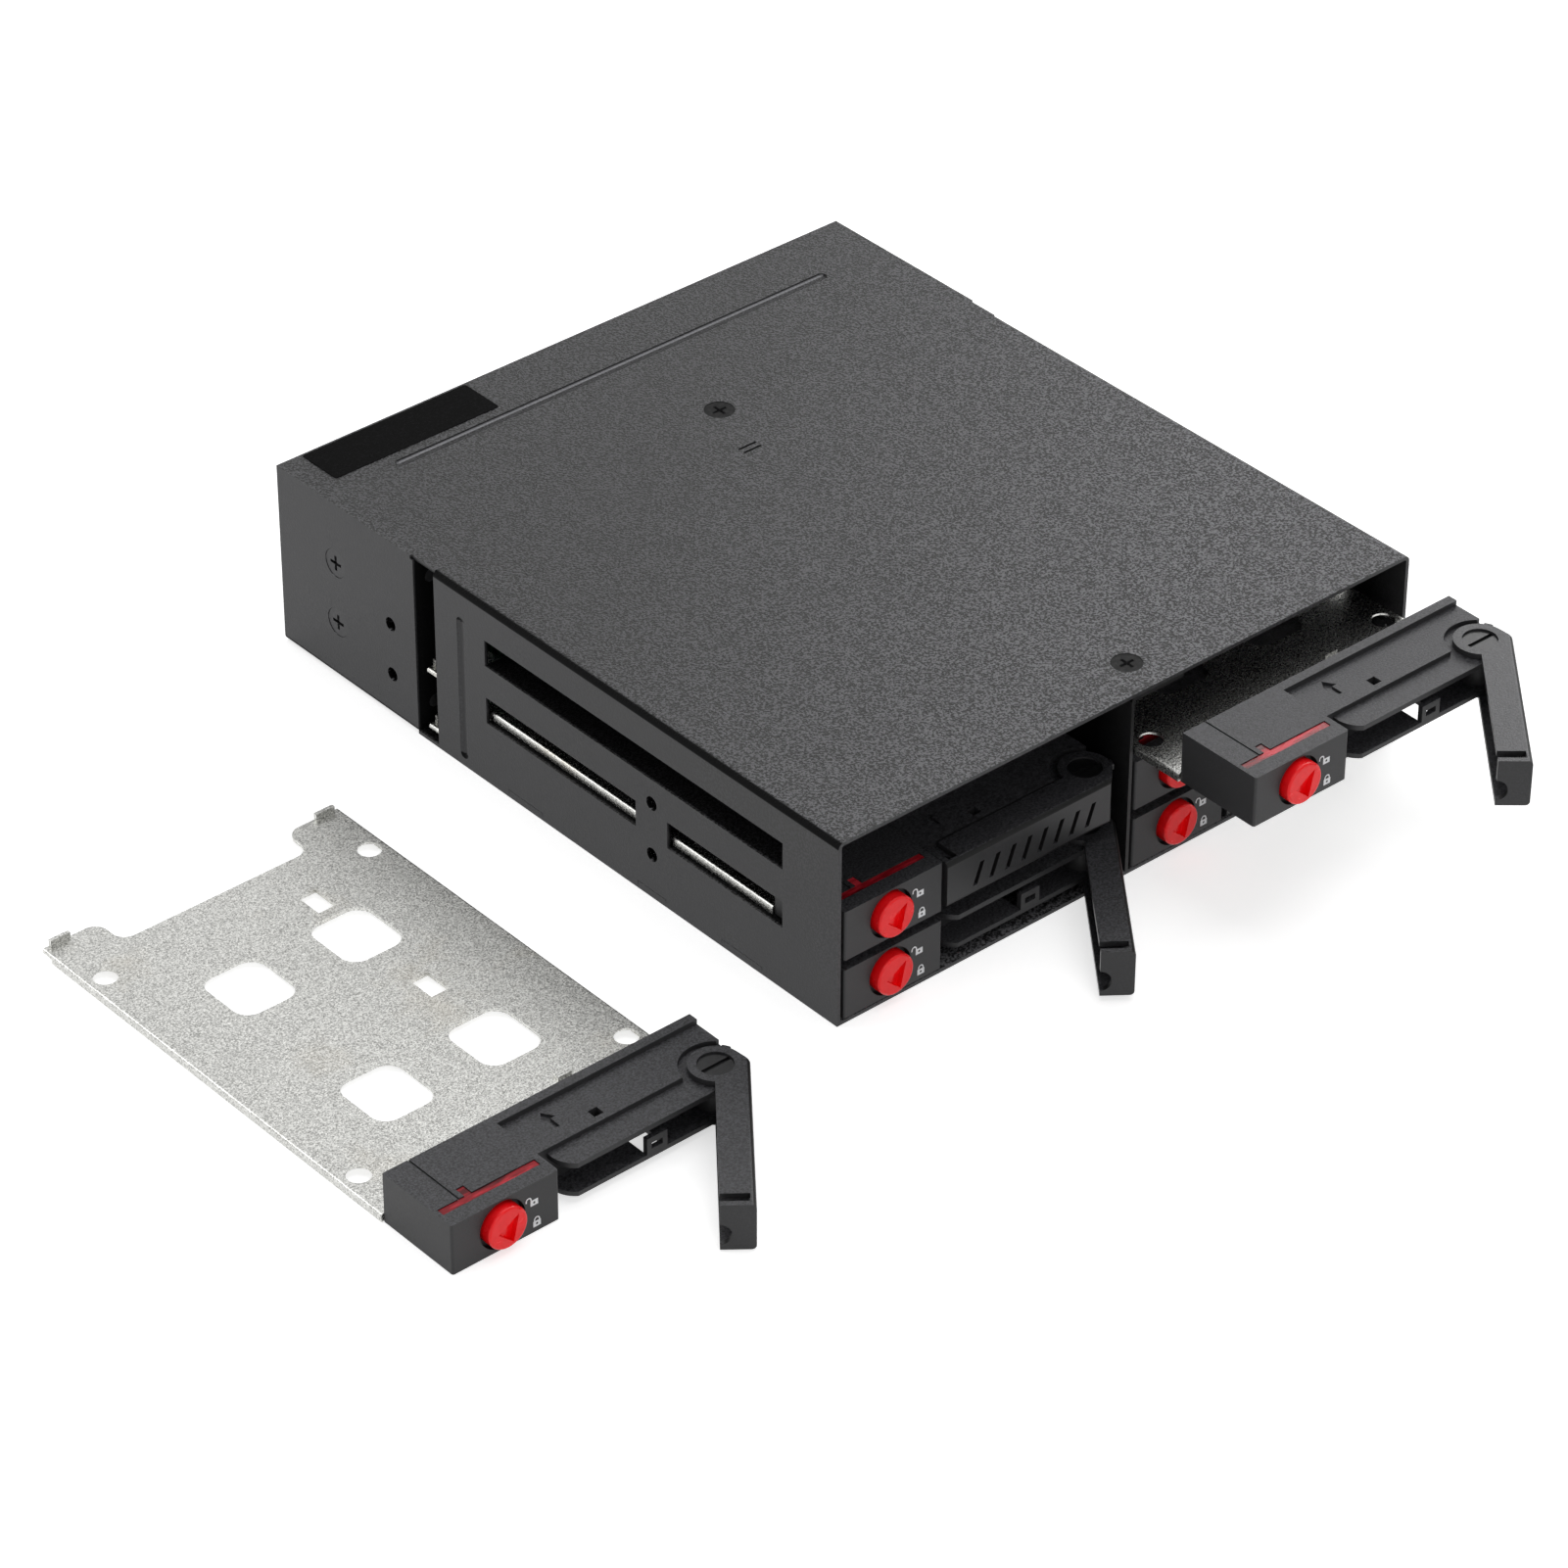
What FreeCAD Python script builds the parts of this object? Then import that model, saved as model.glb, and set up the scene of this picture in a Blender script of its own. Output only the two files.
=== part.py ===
"""Hot swap drive cage: six 2.5 inch drive trays in one half-height 5.25 inch bay.

Millimetres. X runs to the right, Y from the front to the rear, Z up. Every piece is drawn with
y measured back from the front face of the cage, and write() moves the origin to the centre of
the underside. A tray is drawn in its own frame, whose origin is the left front bottom corner of
its bezel, and is then put into its bay.
"""
import FreeCAD, Part
import math
import os

V = FreeCAD.Vector

# ---- cage ---------------------------------------------------------------------------------
CAGE_WIDTH = 146.05
CAGE_HEIGHT = 41.3
CAGE_DEPTH = 167.4
SHEET = 0.8
BEND_RADIUS = 1.4
ROWS = 3
SIDES = ("left", "right")
ROW_NAMES = ("bottom", "middle", "top")
REAR_BOX_FRONT = 124.2
WALL_SPLIT = 6.4
BEND_NOTCH = 0.5

# stiffening beads pressed into the roof and the side walls, and the stake marks of the divider
BEAD_DEPTH = 0.35
BEAD_WIDTH = 2.4
ROOF_BEAD_TO_REAR = 15.1
ROOF_BEAD_MARGIN_LEFT = 19.225
ROOF_BEAD_MARGIN_RIGHT = 17.225
WALL_BEAD_Y = 109.7
WALL_BEAD_LOW = 3.0
WALL_BEAD_TO_TOP = 7.8
STAKE_MARK_Y = 111.9
STAKE_MARK_LENGTH = 4.5
STAKE_MARK_WIDTH = 0.6
STAKE_MARK_PITCH = 1.6
FLOOR_TABS = ((21.2, 32.6), (48.9, 57.0), (85.8, 95.9))

# standard side and bottom screw holes of a half-height bay device
HOLE_FRONT_Y = 52.8
HOLE_SPAN_Y = 79.2
HOLE_LOW_Z = 10.0
HOLE_SPAN_Z = 11.8
HOLE_R = 1.5
BOTTOM_HOLE_INSET = 3.175

# ---- running gaps and fits ----------------------------------------------------------------
RUN_GAP = 0.2
SIDE_GAP = 0.375
SEAT_GAP = 0.1
FIT = 0.05
OVERCUT = 1.0

# ---- ledges bent inward from the walls ----------------------------------------------------
LEDGE_REACH = 5.4
SLOT_HEIGHT = 6.7
WALL_LEDGES = {"middle": ((15.4, 48.3), (57.5, 102.4)), "top": ((15.4, 102.4),)}
DIVIDER_LEDGE_LENGTH = 20.0
DIVIDER_LEDGE_STEP = 22.0
DIVIDER_LEDGE_START = 16.0
DIVIDER_LEDGES = 4

# ---- tray ---------------------------------------------------------------------------------
TRAY_OVERHANG = 0.5
TRAY_FREE = 0.55
PLATE_FREE = 2.05
PLATE_TOP = 1.8
PLATE_END = 122.3
PLATE_NOTCH_DEPTH = 7.6
PLATE_NOTCH_MARGIN = 12.7
NOTCH_R = 3.0
TONGUE_FRONT = 9.5
DRIVE_HOLE_INSET = 3.84
DRIVE_HOLE_SPAN_Y = 76.6
DRIVE_HOLE_Y = 31.0
DRIVE_HOLE_R = 2.4
DRIVE_HOLE_MOUTH_R = 2.8
WINDOW_WIDTH = 13.4
WINDOW_LENGTH = 15.0
WINDOW_R = 3.6
WINDOW_SPAN_X = 24.9
WINDOW_SPAN_Y = 41.2
WINDOW_FRONT_Y = 46.6
EARTH_SLOT_WIDTH = 4.1
EARTH_SLOT_LENGTH = 6.4
EARTH_SLOT_X = 13.2
EARTH_SLOT_FRONT_Y = 66.7
EARTH_SLOT_SPAN_Y = 34.2
SPRING_X = 14.6
SPRING_Y = 29.6
SPRING_WIDTH = 3.2
SPRING_LENGTH = 1.6
SPRING_RISE = 0.8
TAB_WIDTH = 4.4
TAB_RISE = 1.5
TAB_INSET = 1.5

# ---- bezel and carrier --------------------------------------------------------------------
BEZELS_FREE = 3.7
BLOCK_WIDTH = 24.0
BEZEL_DEPTH = 19.4
MOULD_WALL = 1.4
BLOCK_EDGE_R = 0.5
BLOCK_FRONT_WALL = 3.4
BLOCK_ROOF = 2.4
SHELF_DROP = 2.1
SHELF_THICK = 1.1
PANEL_DROP = 1.1
SHELF_FRONT = 1.25
PANEL_FRONT = 7.0
RIM_DEPTH = 2.1
SHELF_LEFT = 29.4
SHELF_END_R = 5.2
SHELF_END_REACH = 2.4
SILL_LOW = 1.45
SILL_TOP = 2.45
CHANNEL_WALL = 1.2
CATCH_ROOM = 5.2
SHELF_LAP = 1.0
STAKE_R = 1.1
STAKE_BOSS_R = 2.2
STAKE_X = (31.0, 53.0)
STAKE_Y = 15.0
CATCH_X = 45.2
CATCH_WIDTH = 4.7
CATCH_HEIGHT = 3.5
CATCH_SLOT_WIDTH = 2.6
CATCH_SLOT_HEIGHT = 1.3
CATCH_SLOT_SHARE = 0.45
RIB_WIDTH = 2.0
STAKE_END = 0.3
REAR_VENTS = 4
REAR_VENT_PITCH = 9.5
REAR_VENT_WIDTH = 6.5
REAR_VENT_MARGIN = 4.0
REAR_VENT_LOW = 1.2
REAR_VENT_TOP = 1.0
ARROW_X = 32.5
ARROW_Y = 13.3
ARROW_SINK = 0.6
ARROW_HEAD_WIDTH = 3.2
ARROW_HEAD_LENGTH = 2.4
ARROW_SHAFT_WIDTH = 0.9
ARROW_SHAFT_LENGTH = 2.7
SQUARE_X = 40.2
SQUARE_Y = 9.5
SQUARE_SIDE = 2.1

# ---- hinge and lever ----------------------------------------------------------------------
HINGE_INSET = 5.2
HINGE_Y = 6.0
RING_R = 5.2
RING_RECESS_R = 6.9
PIN_HEAD_R = 3.4
PIN_HEAD_DROP = 1.2
PIN_SHANK_LOW = 1.2
PIN_END_GAP = 0.2
PIN_SHANK_R = 1.5
PIN_SLOT_WIDTH = 0.9
PIN_SLOT_DEPTH = 0.5
BOSS_R = 4.5
LEVER_LOW = 0.2
LEVER_DROP = 0.8
FLANGE = 1.15
LEVER_FRONT = -0.3
LEVER_WEB = 1.1
LEVER_DEPTH = 6.5
LEVER_TIP = 24.9
LEVER_END_WALL = 1.2
LEVER_SHOULDER = 0.9
LEVER_EDGE_R = 0.9
TIP_GAP = 2.1
VENTS = 8
VENT_START = 7.85
VENT_WIDTH = 1.1
VENT_LOW = 2.2
VENT_TO_TOP = 3.2
VENT_LEAN = 1.75
TOOTH_RISE = 0.4
TOOTH_ROOT = 1.0
TOOTH_ANGLE = -22.0
TOOTH_SPREAD = 9.0
THUMB_R = 2.2

# ---- rotary lock and light pipe -----------------------------------------------------------
KNOB_X = 11.3
KNOB_EDGE = 1.15
KNOB_PROUD = 1.75
KNOB_EDGE_R = 0.5
KNOB_RECESS_EDGE = 0.4
KNOB_RECESS_DEPTH = 1.6
KNOB_SHAFT_R = 2.0
KNOB_CAM_EDGE = 2.8
KNOB_CAM_THICK = 1.2
ARROW_RECESS_DEPTH = 1.2
ARROW_RECESS = ((2.4, 2.35), (-2.3, -0.4), (1.05, -3.4))
PIPE_LEFT = 1.0
PIPE_RIGHT = 22.6
PIPE_FRONT = 3.4
PIPE_WIDTH = 1.7
PIPE_DEPTH = 1.6
PIPE_SUNK = 0.2
PIPE_TAIL_X = 7.0
PIPE_TAIL_WIDTH = 1.6
PIPE_TAIL_END = 7.5
SEAM_LEFT = 5.5
SEAM_WIDTH = 0.4
SEAM_DEPTH = 0.3

# ---- centre divider and roof screws -------------------------------------------------------
DIVIDER_FLANGE = 13.0
DIVIDER_FEET = ((10.0, 22.0), (60.0, 72.0), (104.0, 116.0))
ROOF_SCREW_X = 6.35
ROOF_SCREW_Y = (8.6, 126.5)
TONGUE_WIDTH = 11.0
TONGUE_END = 131.0
SCREW_HEAD_R = 3.1
SCREW_SHANK_R = 1.5
SCREW_CONE = 1.3
SCREW_LENGTH = 2.3
CROSS_HALF = 1.7
CROSS_WIDTH = 0.7
PAN_HEAD_R = 2.7
PAN_HEAD_HEIGHT = 1.2
FAN_SCREW_LENGTH = 6.0

# ---- backplane, rear panel and fans -------------------------------------------------------
BOARD_THICK = 1.6
BOARD_EDGE_GAP = 0.5
SOCKET_WIDTH = 36.0
SOCKET_HEIGHT = 5.4
SOCKET_DEPTH = 6.4
SOCKET_OFFSET_X = 4.8
SOCKET_CENTRE_Z = 5.3
BOARD_VENT_WIDTH = 12.0
BOARD_VENT_HEIGHT = 5.0
BOARD_VENT_MARGIN = 2.0
DATA_SLOT_LEFT = 1.6
DATA_SLOT_WIDTH = 20.8
POWER_SLOT_LEFT = 23.8
POWER_SLOT_WIDTH = 10.6
SLOT_BELOW = 1.3
SLOT_ABOVE = 0.9
SOCKET_FLOOR = 1.5
PANEL_FLANGE = 22.0
SIDE_SCREW_TO_REAR = 18.1
SIDE_SCREW_LOW = 13.4
SIDE_SCREW_TO_TOP = 14.0
SIDE_FLANGE_MARGIN = 6.0
FAN_LIFT = 0.4
FAN_DEPTH = 10.0
FAN_WALL = 0.8
FAN_SIDE_GAP = 1.625
FAN_HOLE_INSET = 4.0
FAN_HUB_R = 9.0
FAN_BLADES = 7
FAN_SHAFT_R = 1.5
FAN_CORNER_R = 2.5
FAN_BASE = 1.6
FAN_STRUTS = 3
FAN_STRUT_WIDTH = 2.0
FAN_POST_R = 3.0
FAN_POST_TOP = 5.0
FAN_ROTOR_LOW = 2.1
FAN_ROTOR_SHORT = 0.6
FAN_CUP_WALL = 1.2
FAN_TIP_GAP = 0.7
BLADE_THICK = 0.5
BLADE_ROOT = (2.2, 2.4)
BLADE_TIP = (3.4, 4.6)
GUARD_WEB = 1.6
GUARD_RINGS = 3
GUARD_HUB_R = 5.0
OPENING_CORNER_R = 2.0
CABLE_OPENING_GAP = 2.6
CABLE_OPENING_MARGIN = 4.0
PORT_GAP_X = 1.0
PORT_WIDTH = 15.0
PORT_HEIGHT = 6.4
PORT_DEPTH = 9.0
PORT_GAP_Z = 3.6
PORT_TONGUE_WIDTH = 8.4
PORT_TONGUE_THICK = 1.2
PORT_TONGUE_SHORT = 1.0
POWER_WIDTH = 21.0
POWER_HEIGHT = 8.6
POWER_DEPTH = 11.0
POWER_GAP_Z = 6.0
POWER_KEY = 2.0
POWER_PIN_PITCH = 5.08
POWER_PIN_R = 1.0
CONNECTOR_WALL = 1.2
CONNECTOR_FLOOR = 2.0
BOARD_SCREW_INSET = 3.6
BOARD_SCREW_EDGE = 6.0

# ---- where the trays are: pulled out distance and lever angle -----------------------------
TRAYS = {
    ("left", "bottom"): (0.0, 52.0),
    ("left", "middle"): (0.0, 0.0),
    ("right", "bottom"): (0.0, 0.0),
    ("right", "middle"): (0.0, 0.0),
    ("right", "top"): (31.4, 49.0),
}
LOOSE_TRAY = ("left", "top")
LOOSE_DISTANCE = 27.175
LOOSE_Y = -9.75
LOOSE_ANGLE = 51.0

# ---- derived ------------------------------------------------------------------------------
HALF_WIDTH = CAGE_WIDTH / 2
ROOF_LOW = CAGE_HEIGHT - SHEET
HALF_DIVIDER = SHEET / 2
COLUMN_WIDTH = HALF_WIDTH - SHEET - HALF_DIVIDER
ROW_PITCH = (CAGE_HEIGHT - 2 * SHEET) / ROWS
LEDGE_DROP = RUN_GAP + SHEET

TRAY_WIDTH = COLUMN_WIDTH - SIDE_GAP - TRAY_OVERHANG - TRAY_FREE
PLATE_WIDTH = COLUMN_WIDTH - SIDE_GAP - PLATE_FREE
PLATE_LEFT = -TRAY_OVERHANG
PLATE_MID = PLATE_LEFT + PLATE_WIDTH / 2
PLATE_RIGHT = PLATE_LEFT + PLATE_WIDTH
PLATE_NOTCH_WIDTH = PLATE_WIDTH - 2 * PLATE_NOTCH_MARGIN
DRIVE_HOLE_SPAN_X = PLATE_WIDTH - 2 * DRIVE_HOLE_INSET
BEZEL_HEIGHT = ROW_PITCH - LEDGE_DROP - BEZELS_FREE / ROWS
SHELF_TOP = BEZEL_HEIGHT - SHELF_DROP
PANEL_TOP = BEZEL_HEIGHT - PANEL_DROP
PIN_HEAD_TOP = BEZEL_HEIGHT - PIN_HEAD_DROP
LEVER_TOP = BEZEL_HEIGHT - LEVER_DROP
HINGE_X = TRAY_WIDTH - HINGE_INSET
VENT_PITCH = (HINGE_X - LEVER_TIP) / (VENTS + 2)
VENT_FIRST = LEVER_TIP + VENT_START
VENT_HIGH = LEVER_TOP - VENT_TO_TOP
KNOB_Z = BEZEL_HEIGHT / 2
KNOB_R = BEZEL_HEIGHT / 2 - KNOB_EDGE
KNOB_RECESS_R = BEZEL_HEIGHT / 2 - KNOB_RECESS_EDGE
KNOB_CAM_R = BEZEL_HEIGHT / 2 - KNOB_CAM_EDGE

BOARD_FRONT = REAR_BOX_FRONT + SHEET
BOARD_REAR = BOARD_FRONT + BOARD_THICK
PANEL_FRONT_Y = CAGE_DEPTH - SHEET
SIDE_SCREW_Y = CAGE_DEPTH - SIDE_SCREW_TO_REAR
SIDE_SCREW_Z = (SIDE_SCREW_LOW, CAGE_HEIGHT - SIDE_SCREW_TO_TOP)
FAN_SIZE = ROOF_LOW - SEAT_GAP - FAN_LIFT
FAN_X = HALF_WIDTH - SHEET - FAN_SIDE_GAP - FAN_SIZE / 2
FAN_Z = FAN_LIFT + FAN_SIZE / 2
FAN_HOLE_SPAN = FAN_SIZE - 2 * FAN_HOLE_INSET
CABLE_OPENING_WIDTH = 2 * (FAN_X - FAN_SIZE / 2 - CABLE_OPENING_GAP)
CABLE_OPENING_HEIGHT = FAN_SIZE - 2 * CABLE_OPENING_MARGIN
PORT_X = POWER_WIDTH / 2 + PORT_GAP_X + PORT_WIDTH / 2


def row_floor(row):
    """Height of the underside of a tray in its row."""
    return SHEET + RUN_GAP + ROW_NAMES.index(row) * ROW_PITCH


def tray_left(side):
    """X of the left side of the bezel of a tray in its column."""
    wall = -HALF_WIDTH + SHEET if side == "left" else HALF_DIVIDER
    return wall + SIDE_GAP + TRAY_OVERHANG


# ---- small helpers ------------------------------------------------------------------------
def box(x0, x1, y0, y1, z0, z1):
    return Part.makeBox(x1 - x0, y1 - y0, z1 - z0, V(x0, y0, z0))


def rod(x, y, z, r, length, axis=V(0, 0, 1)):
    return Part.makeCylinder(r, length, V(x, y, z), axis)


def cone(x, y, z, r0, r1, length, axis=V(0, 0, 1)):
    return Part.makeCone(r0, r1, length, V(x, y, z), axis)


def join(shapes):
    first = shapes[0]
    return first.multiFuse(shapes[1:]).removeSplitter() if len(shapes) > 1 else first


def face(points):
    """Flat face bounded by straight lines through the points."""
    return Part.Face(Part.makePolygon(list(points) + [points[0]]))


def round_edges(shape, radius, wanted):
    """Fillets the straight edges whose middle and direction pass the test."""
    chosen = []
    for edge in shape.Edges:
        if edge.Curve.TypeId != "Part::GeomLine":
            continue
        a, b = edge.Vertexes[0].Point, edge.Vertexes[-1].Point
        if wanted((a + b) * 0.5, (b - a).normalize()):
            chosen.append(edge)
    return shape.makeFillet(radius, chosen)


def rounded_prism(cx, cy, width, length, radius, z0, z1):
    """Rectangle with round corners, extruded upwards."""
    block = box(cx - width / 2, cx + width / 2, cy - length / 2, cy + length / 2, z0, z1)
    return round_edges(block, radius, lambda mid, way: abs(way.z) > 0.9)


def tube_section(inner, outer, z0, z1, a0, a1):
    """Sector of a flat ring about the Z axis between two angles."""
    ring = rod(0, 0, z0, outer, z1 - z0).cut(rod(0, 0, z0, inner, z1 - z0))
    reach = outer * 1.6
    mid = (a0 + a1) / 2
    corners = [V(0, 0, z0)]
    for angle in (a0, mid, a1):
        turn = math.radians(angle)
        corners.append(V(reach * math.cos(turn), reach * math.sin(turn), z0))
    return ring.common(face(corners).extrude(V(0, 0, z1 - z0)))


def write(name, shape):
    """Moves a finished piece to the frame of the whole object and writes it."""
    moved = shape.copy()
    moved.translate(V(0, -CAGE_DEPTH / 2, 0))
    moved.exportStep(os.path.join("parts", name + ".step"))


# ---- cage sheet metal ---------------------------------------------------------------------
def wall_ledges(inner, inward):
    """Slots in a side wall and the ledges bent inward from their lower edges."""
    slots, ledges = [], []
    for row, spans in WALL_LEDGES.items():
        low = row_floor(row) - LEDGE_DROP
        for y0, y1 in spans:
            a, b = sorted((inner, inner - inward * SHEET))
            slots.append(box(a, b, y0, y1, low + SHEET, low + SLOT_HEIGHT))
            a, b = sorted((inner, inner + inward * LEDGE_REACH))
            ledges.append(box(a, b, y0, y1, low, low + SHEET))
    return slots, ledges


def side_holes(y):
    """Pair of screw holes right through both side walls at one depth."""
    heights = (HOLE_LOW_Z, HOLE_LOW_Z + HOLE_SPAN_Z)
    return [rod(-HALF_WIDTH, y, z, HOLE_R, CAGE_WIDTH, V(1, 0, 0)) for z in heights]


def bead_groove(length):
    """Shallow round-ended groove from the origin along X, sunk below the XY plane."""
    radius = (BEAD_WIDTH ** 2 / 4 + BEAD_DEPTH ** 2) / (2 * BEAD_DEPTH)
    lift = radius - BEAD_DEPTH
    trough = rod(0, 0, lift, radius, length, V(1, 0, 0))
    ends = [Part.makeSphere(radius, V(x, 0, lift)) for x in (0, length)]
    return join([trough] + ends)


def roof_marks():
    """Bead across the rear of the roof and the two slits where the divider is staked."""
    low, high = ROOF_BEAD_MARGIN_LEFT - HALF_WIDTH, HALF_WIDTH - ROOF_BEAD_MARGIN_RIGHT
    bead = bead_groove(high - low)
    bead.translate(V(low, CAGE_DEPTH - ROOF_BEAD_TO_REAR, CAGE_HEIGHT))
    marks = [bead]
    for side in (-0.5, 0.5):
        y = STAKE_MARK_Y + side * STAKE_MARK_PITCH
        marks.append(box(-HALF_DIVIDER, STAKE_MARK_LENGTH - HALF_DIVIDER, y - STAKE_MARK_WIDTH / 2,
                         y + STAKE_MARK_WIDTH / 2, CAGE_HEIGHT - SHEET / 2, CAGE_HEIGHT))
    return marks


def wall_bead(inward):
    """Upright bead near the rear end of a front side wall."""
    low = WALL_BEAD_LOW
    bead = bead_groove(CAGE_HEIGHT - WALL_BEAD_TO_TOP - low)
    bead.rotate(V(0, 0, 0), V(0, 1, 0), -90)
    bead.rotate(V(0, 0, 0), V(0, 0, 1), 0 if inward > 0 else 180)
    bead.translate(V(-inward * HALF_WIDTH, WALL_BEAD_Y, low))
    return bead


def roof_screw_seat(x, y):
    """Cone and shank room for a flat-headed roof screw."""
    top = CAGE_HEIGHT - SEAT_GAP
    head = cone(x, y, top - SCREW_CONE, SCREW_SHANK_R + FIT, SCREW_HEAD_R + FIT, SCREW_CONE)
    mouth = rod(x, y, top, SCREW_HEAD_R + FIT, SEAT_GAP * 2)
    shank = rod(x, y, top - SCREW_LENGTH - 1, SCREW_SHANK_R + FIT, SCREW_LENGTH + 1)
    return join([head, mouth, shank])


def top_cover():
    wall_end = REAR_BOX_FRONT - WALL_SPLIT
    outer = box(-HALF_WIDTH, HALF_WIDTH, 0, wall_end, SHEET, CAGE_HEIGHT)
    inner_half = HALF_WIDTH - SHEET
    hollow = box(-inner_half, inner_half, 0, wall_end, 0, ROOF_LOW)
    outer = round_edges(outer, BEND_RADIUS, lambda m, w: abs(w.y) > 0.9 and m.z > ROOF_LOW)
    hollow = round_edges(hollow, BEND_RADIUS - SHEET, lambda m, w: abs(w.y) > 0.9 and m.z > 1)
    roof = box(-HALF_WIDTH, HALF_WIDTH, wall_end, CAGE_DEPTH, ROOF_LOW, CAGE_HEIGHT)
    shell = outer.cut(hollow)
    cuts, ledges = [], []
    for inward in (1, -1):
        slots, shelves = wall_ledges(-inward * inner_half, inward)
        cuts += slots
        ledges += shelves
        edge = -inward * HALF_WIDTH
        a, b = sorted((edge, edge + inward * BEND_NOTCH))
        cuts.append(box(a, b, wall_end, REAR_BOX_FRONT + SHEET, ROOF_LOW, CAGE_HEIGHT))
        a, b = sorted((edge, edge + inward * SHEET))
        for y0, y1 in FLOOR_TABS:
            cuts.append(box(a, b, y0 - SEAT_GAP, y1 + SEAT_GAP, SHEET, 2 * SHEET + SEAT_GAP))
        cuts.append(wall_bead(inward))
    cuts += side_holes(HOLE_FRONT_Y) + roof_marks()
    for y in ROOF_SCREW_Y:
        cuts.append(roof_screw_seat(ROOF_SCREW_X, y))
    return join([shell, roof] + ledges).cut(Part.makeCompound(cuts))


def bottom_cover():
    inner_half = HALF_WIDTH - SHEET
    floor = box(-HALF_WIDTH, HALF_WIDTH, 0, REAR_BOX_FRONT, 0, SHEET)
    pan = box(-HALF_WIDTH, HALF_WIDTH, REAR_BOX_FRONT, CAGE_DEPTH, 0, ROOF_LOW)
    pan = round_edges(pan, BEND_RADIUS, lambda m, w: abs(w.y) > 0.9 and m.z < SHEET)
    hollow = box(-inner_half, inner_half, REAR_BOX_FRONT, CAGE_DEPTH, SHEET, CAGE_HEIGHT)
    hollow = round_edges(hollow, BEND_RADIUS - SHEET, lambda m, w: abs(w.y) > 0.9 and m.z < 2)
    pieces, cuts = [floor, pan.cut(hollow)], []
    for inward in (1, -1):
        edge = -inward * HALF_WIDTH
        a, b = sorted((edge, edge + inward * SHEET))
        for y0, y1 in FLOOR_TABS:
            pieces.append(box(a, b, y0, y1, 0, 2 * SHEET))
        a, b = sorted((edge, edge + inward * (SHEET + 2 * BOARD_SCREW_INSET)))
        pieces.append(box(a, b, REAR_BOX_FRONT, BOARD_FRONT, 2 * SHEET, ROOF_LOW - SHEET))
        for z in SIDE_SCREW_Z:
            cuts.append(side_screw_seat(inward, z))
        for y in (HOLE_FRONT_Y, HOLE_FRONT_Y + HOLE_SPAN_Y):
            cuts.append(rod(inward * (HALF_WIDTH - BOTTOM_HOLE_INSET), y, 0, HOLE_R, SHEET))
        fan_half = FAN_SIZE / 2 + SEAT_GAP
        fan_front = PANEL_FRONT_Y - FAN_DEPTH - SEAT_GAP
        cuts.append(box(inward * FAN_X - fan_half, inward * FAN_X + fan_half,
                        fan_front, PANEL_FRONT_Y, 0, SHEET))
    cuts += side_holes(HOLE_FRONT_Y + HOLE_SPAN_Y)
    for x, z in board_screw_places():
        cuts.append(rod(x, REAR_BOX_FRONT, z, SCREW_SHANK_R + FIT, SHEET, V(0, 1, 0)))
    for y0, y1 in DIVIDER_FEET:
        cuts.append(box(-HALF_DIVIDER - FIT, HALF_DIVIDER + FIT, y0 - FIT, y1 + FIT, 0, SHEET))
    return join(pieces).cut(Part.makeCompound(cuts))


def center_divider():
    depth = REAR_BOX_FRONT - 2 * SEAT_GAP
    web = box(-HALF_DIVIDER, HALF_DIVIDER, 0, depth, SHEET, ROOF_LOW)
    flange = box(-HALF_DIVIDER, DIVIDER_FLANGE, 0, depth, ROOF_LOW - SHEET, ROOF_LOW)
    tongue = box(ROOF_SCREW_X - TONGUE_WIDTH / 2, ROOF_SCREW_X + TONGUE_WIDTH / 2, 0, TONGUE_END,
                 ROOF_LOW - SHEET, ROOF_LOW)
    pieces, cuts = [web, flange, tongue], []
    for y0, y1 in DIVIDER_FEET:
        pieces.append(box(-HALF_DIVIDER, HALF_DIVIDER, y0, y1, 0, SHEET))
    for row in ROW_NAMES[1:]:
        low = row_floor(row) - LEDGE_DROP
        for step in range(DIVIDER_LEDGES):
            y0 = DIVIDER_LEDGE_START + step * DIVIDER_LEDGE_STEP
            y1 = y0 + DIVIDER_LEDGE_LENGTH
            way = 1 if step % 2 else -1
            a, b = sorted((-way * HALF_DIVIDER, way * (HALF_DIVIDER + LEDGE_REACH)))
            pieces.append(box(a, b, y0, y1, low, low + SHEET))
            cuts.append(box(-HALF_DIVIDER, HALF_DIVIDER, y0, y1, low + SHEET, low + SLOT_HEIGHT))
    for y in ROOF_SCREW_Y:
        cuts.append(roof_screw_seat(ROOF_SCREW_X, y))
    body = join(pieces).cut(Part.makeCompound(cuts))
    return round_edges(body, SHEET, lambda m, w: abs(w.y) > 0.9 and m.z > ROOF_LOW - 0.01
                       and abs(m.x + HALF_DIVIDER) < 0.01)


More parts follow.
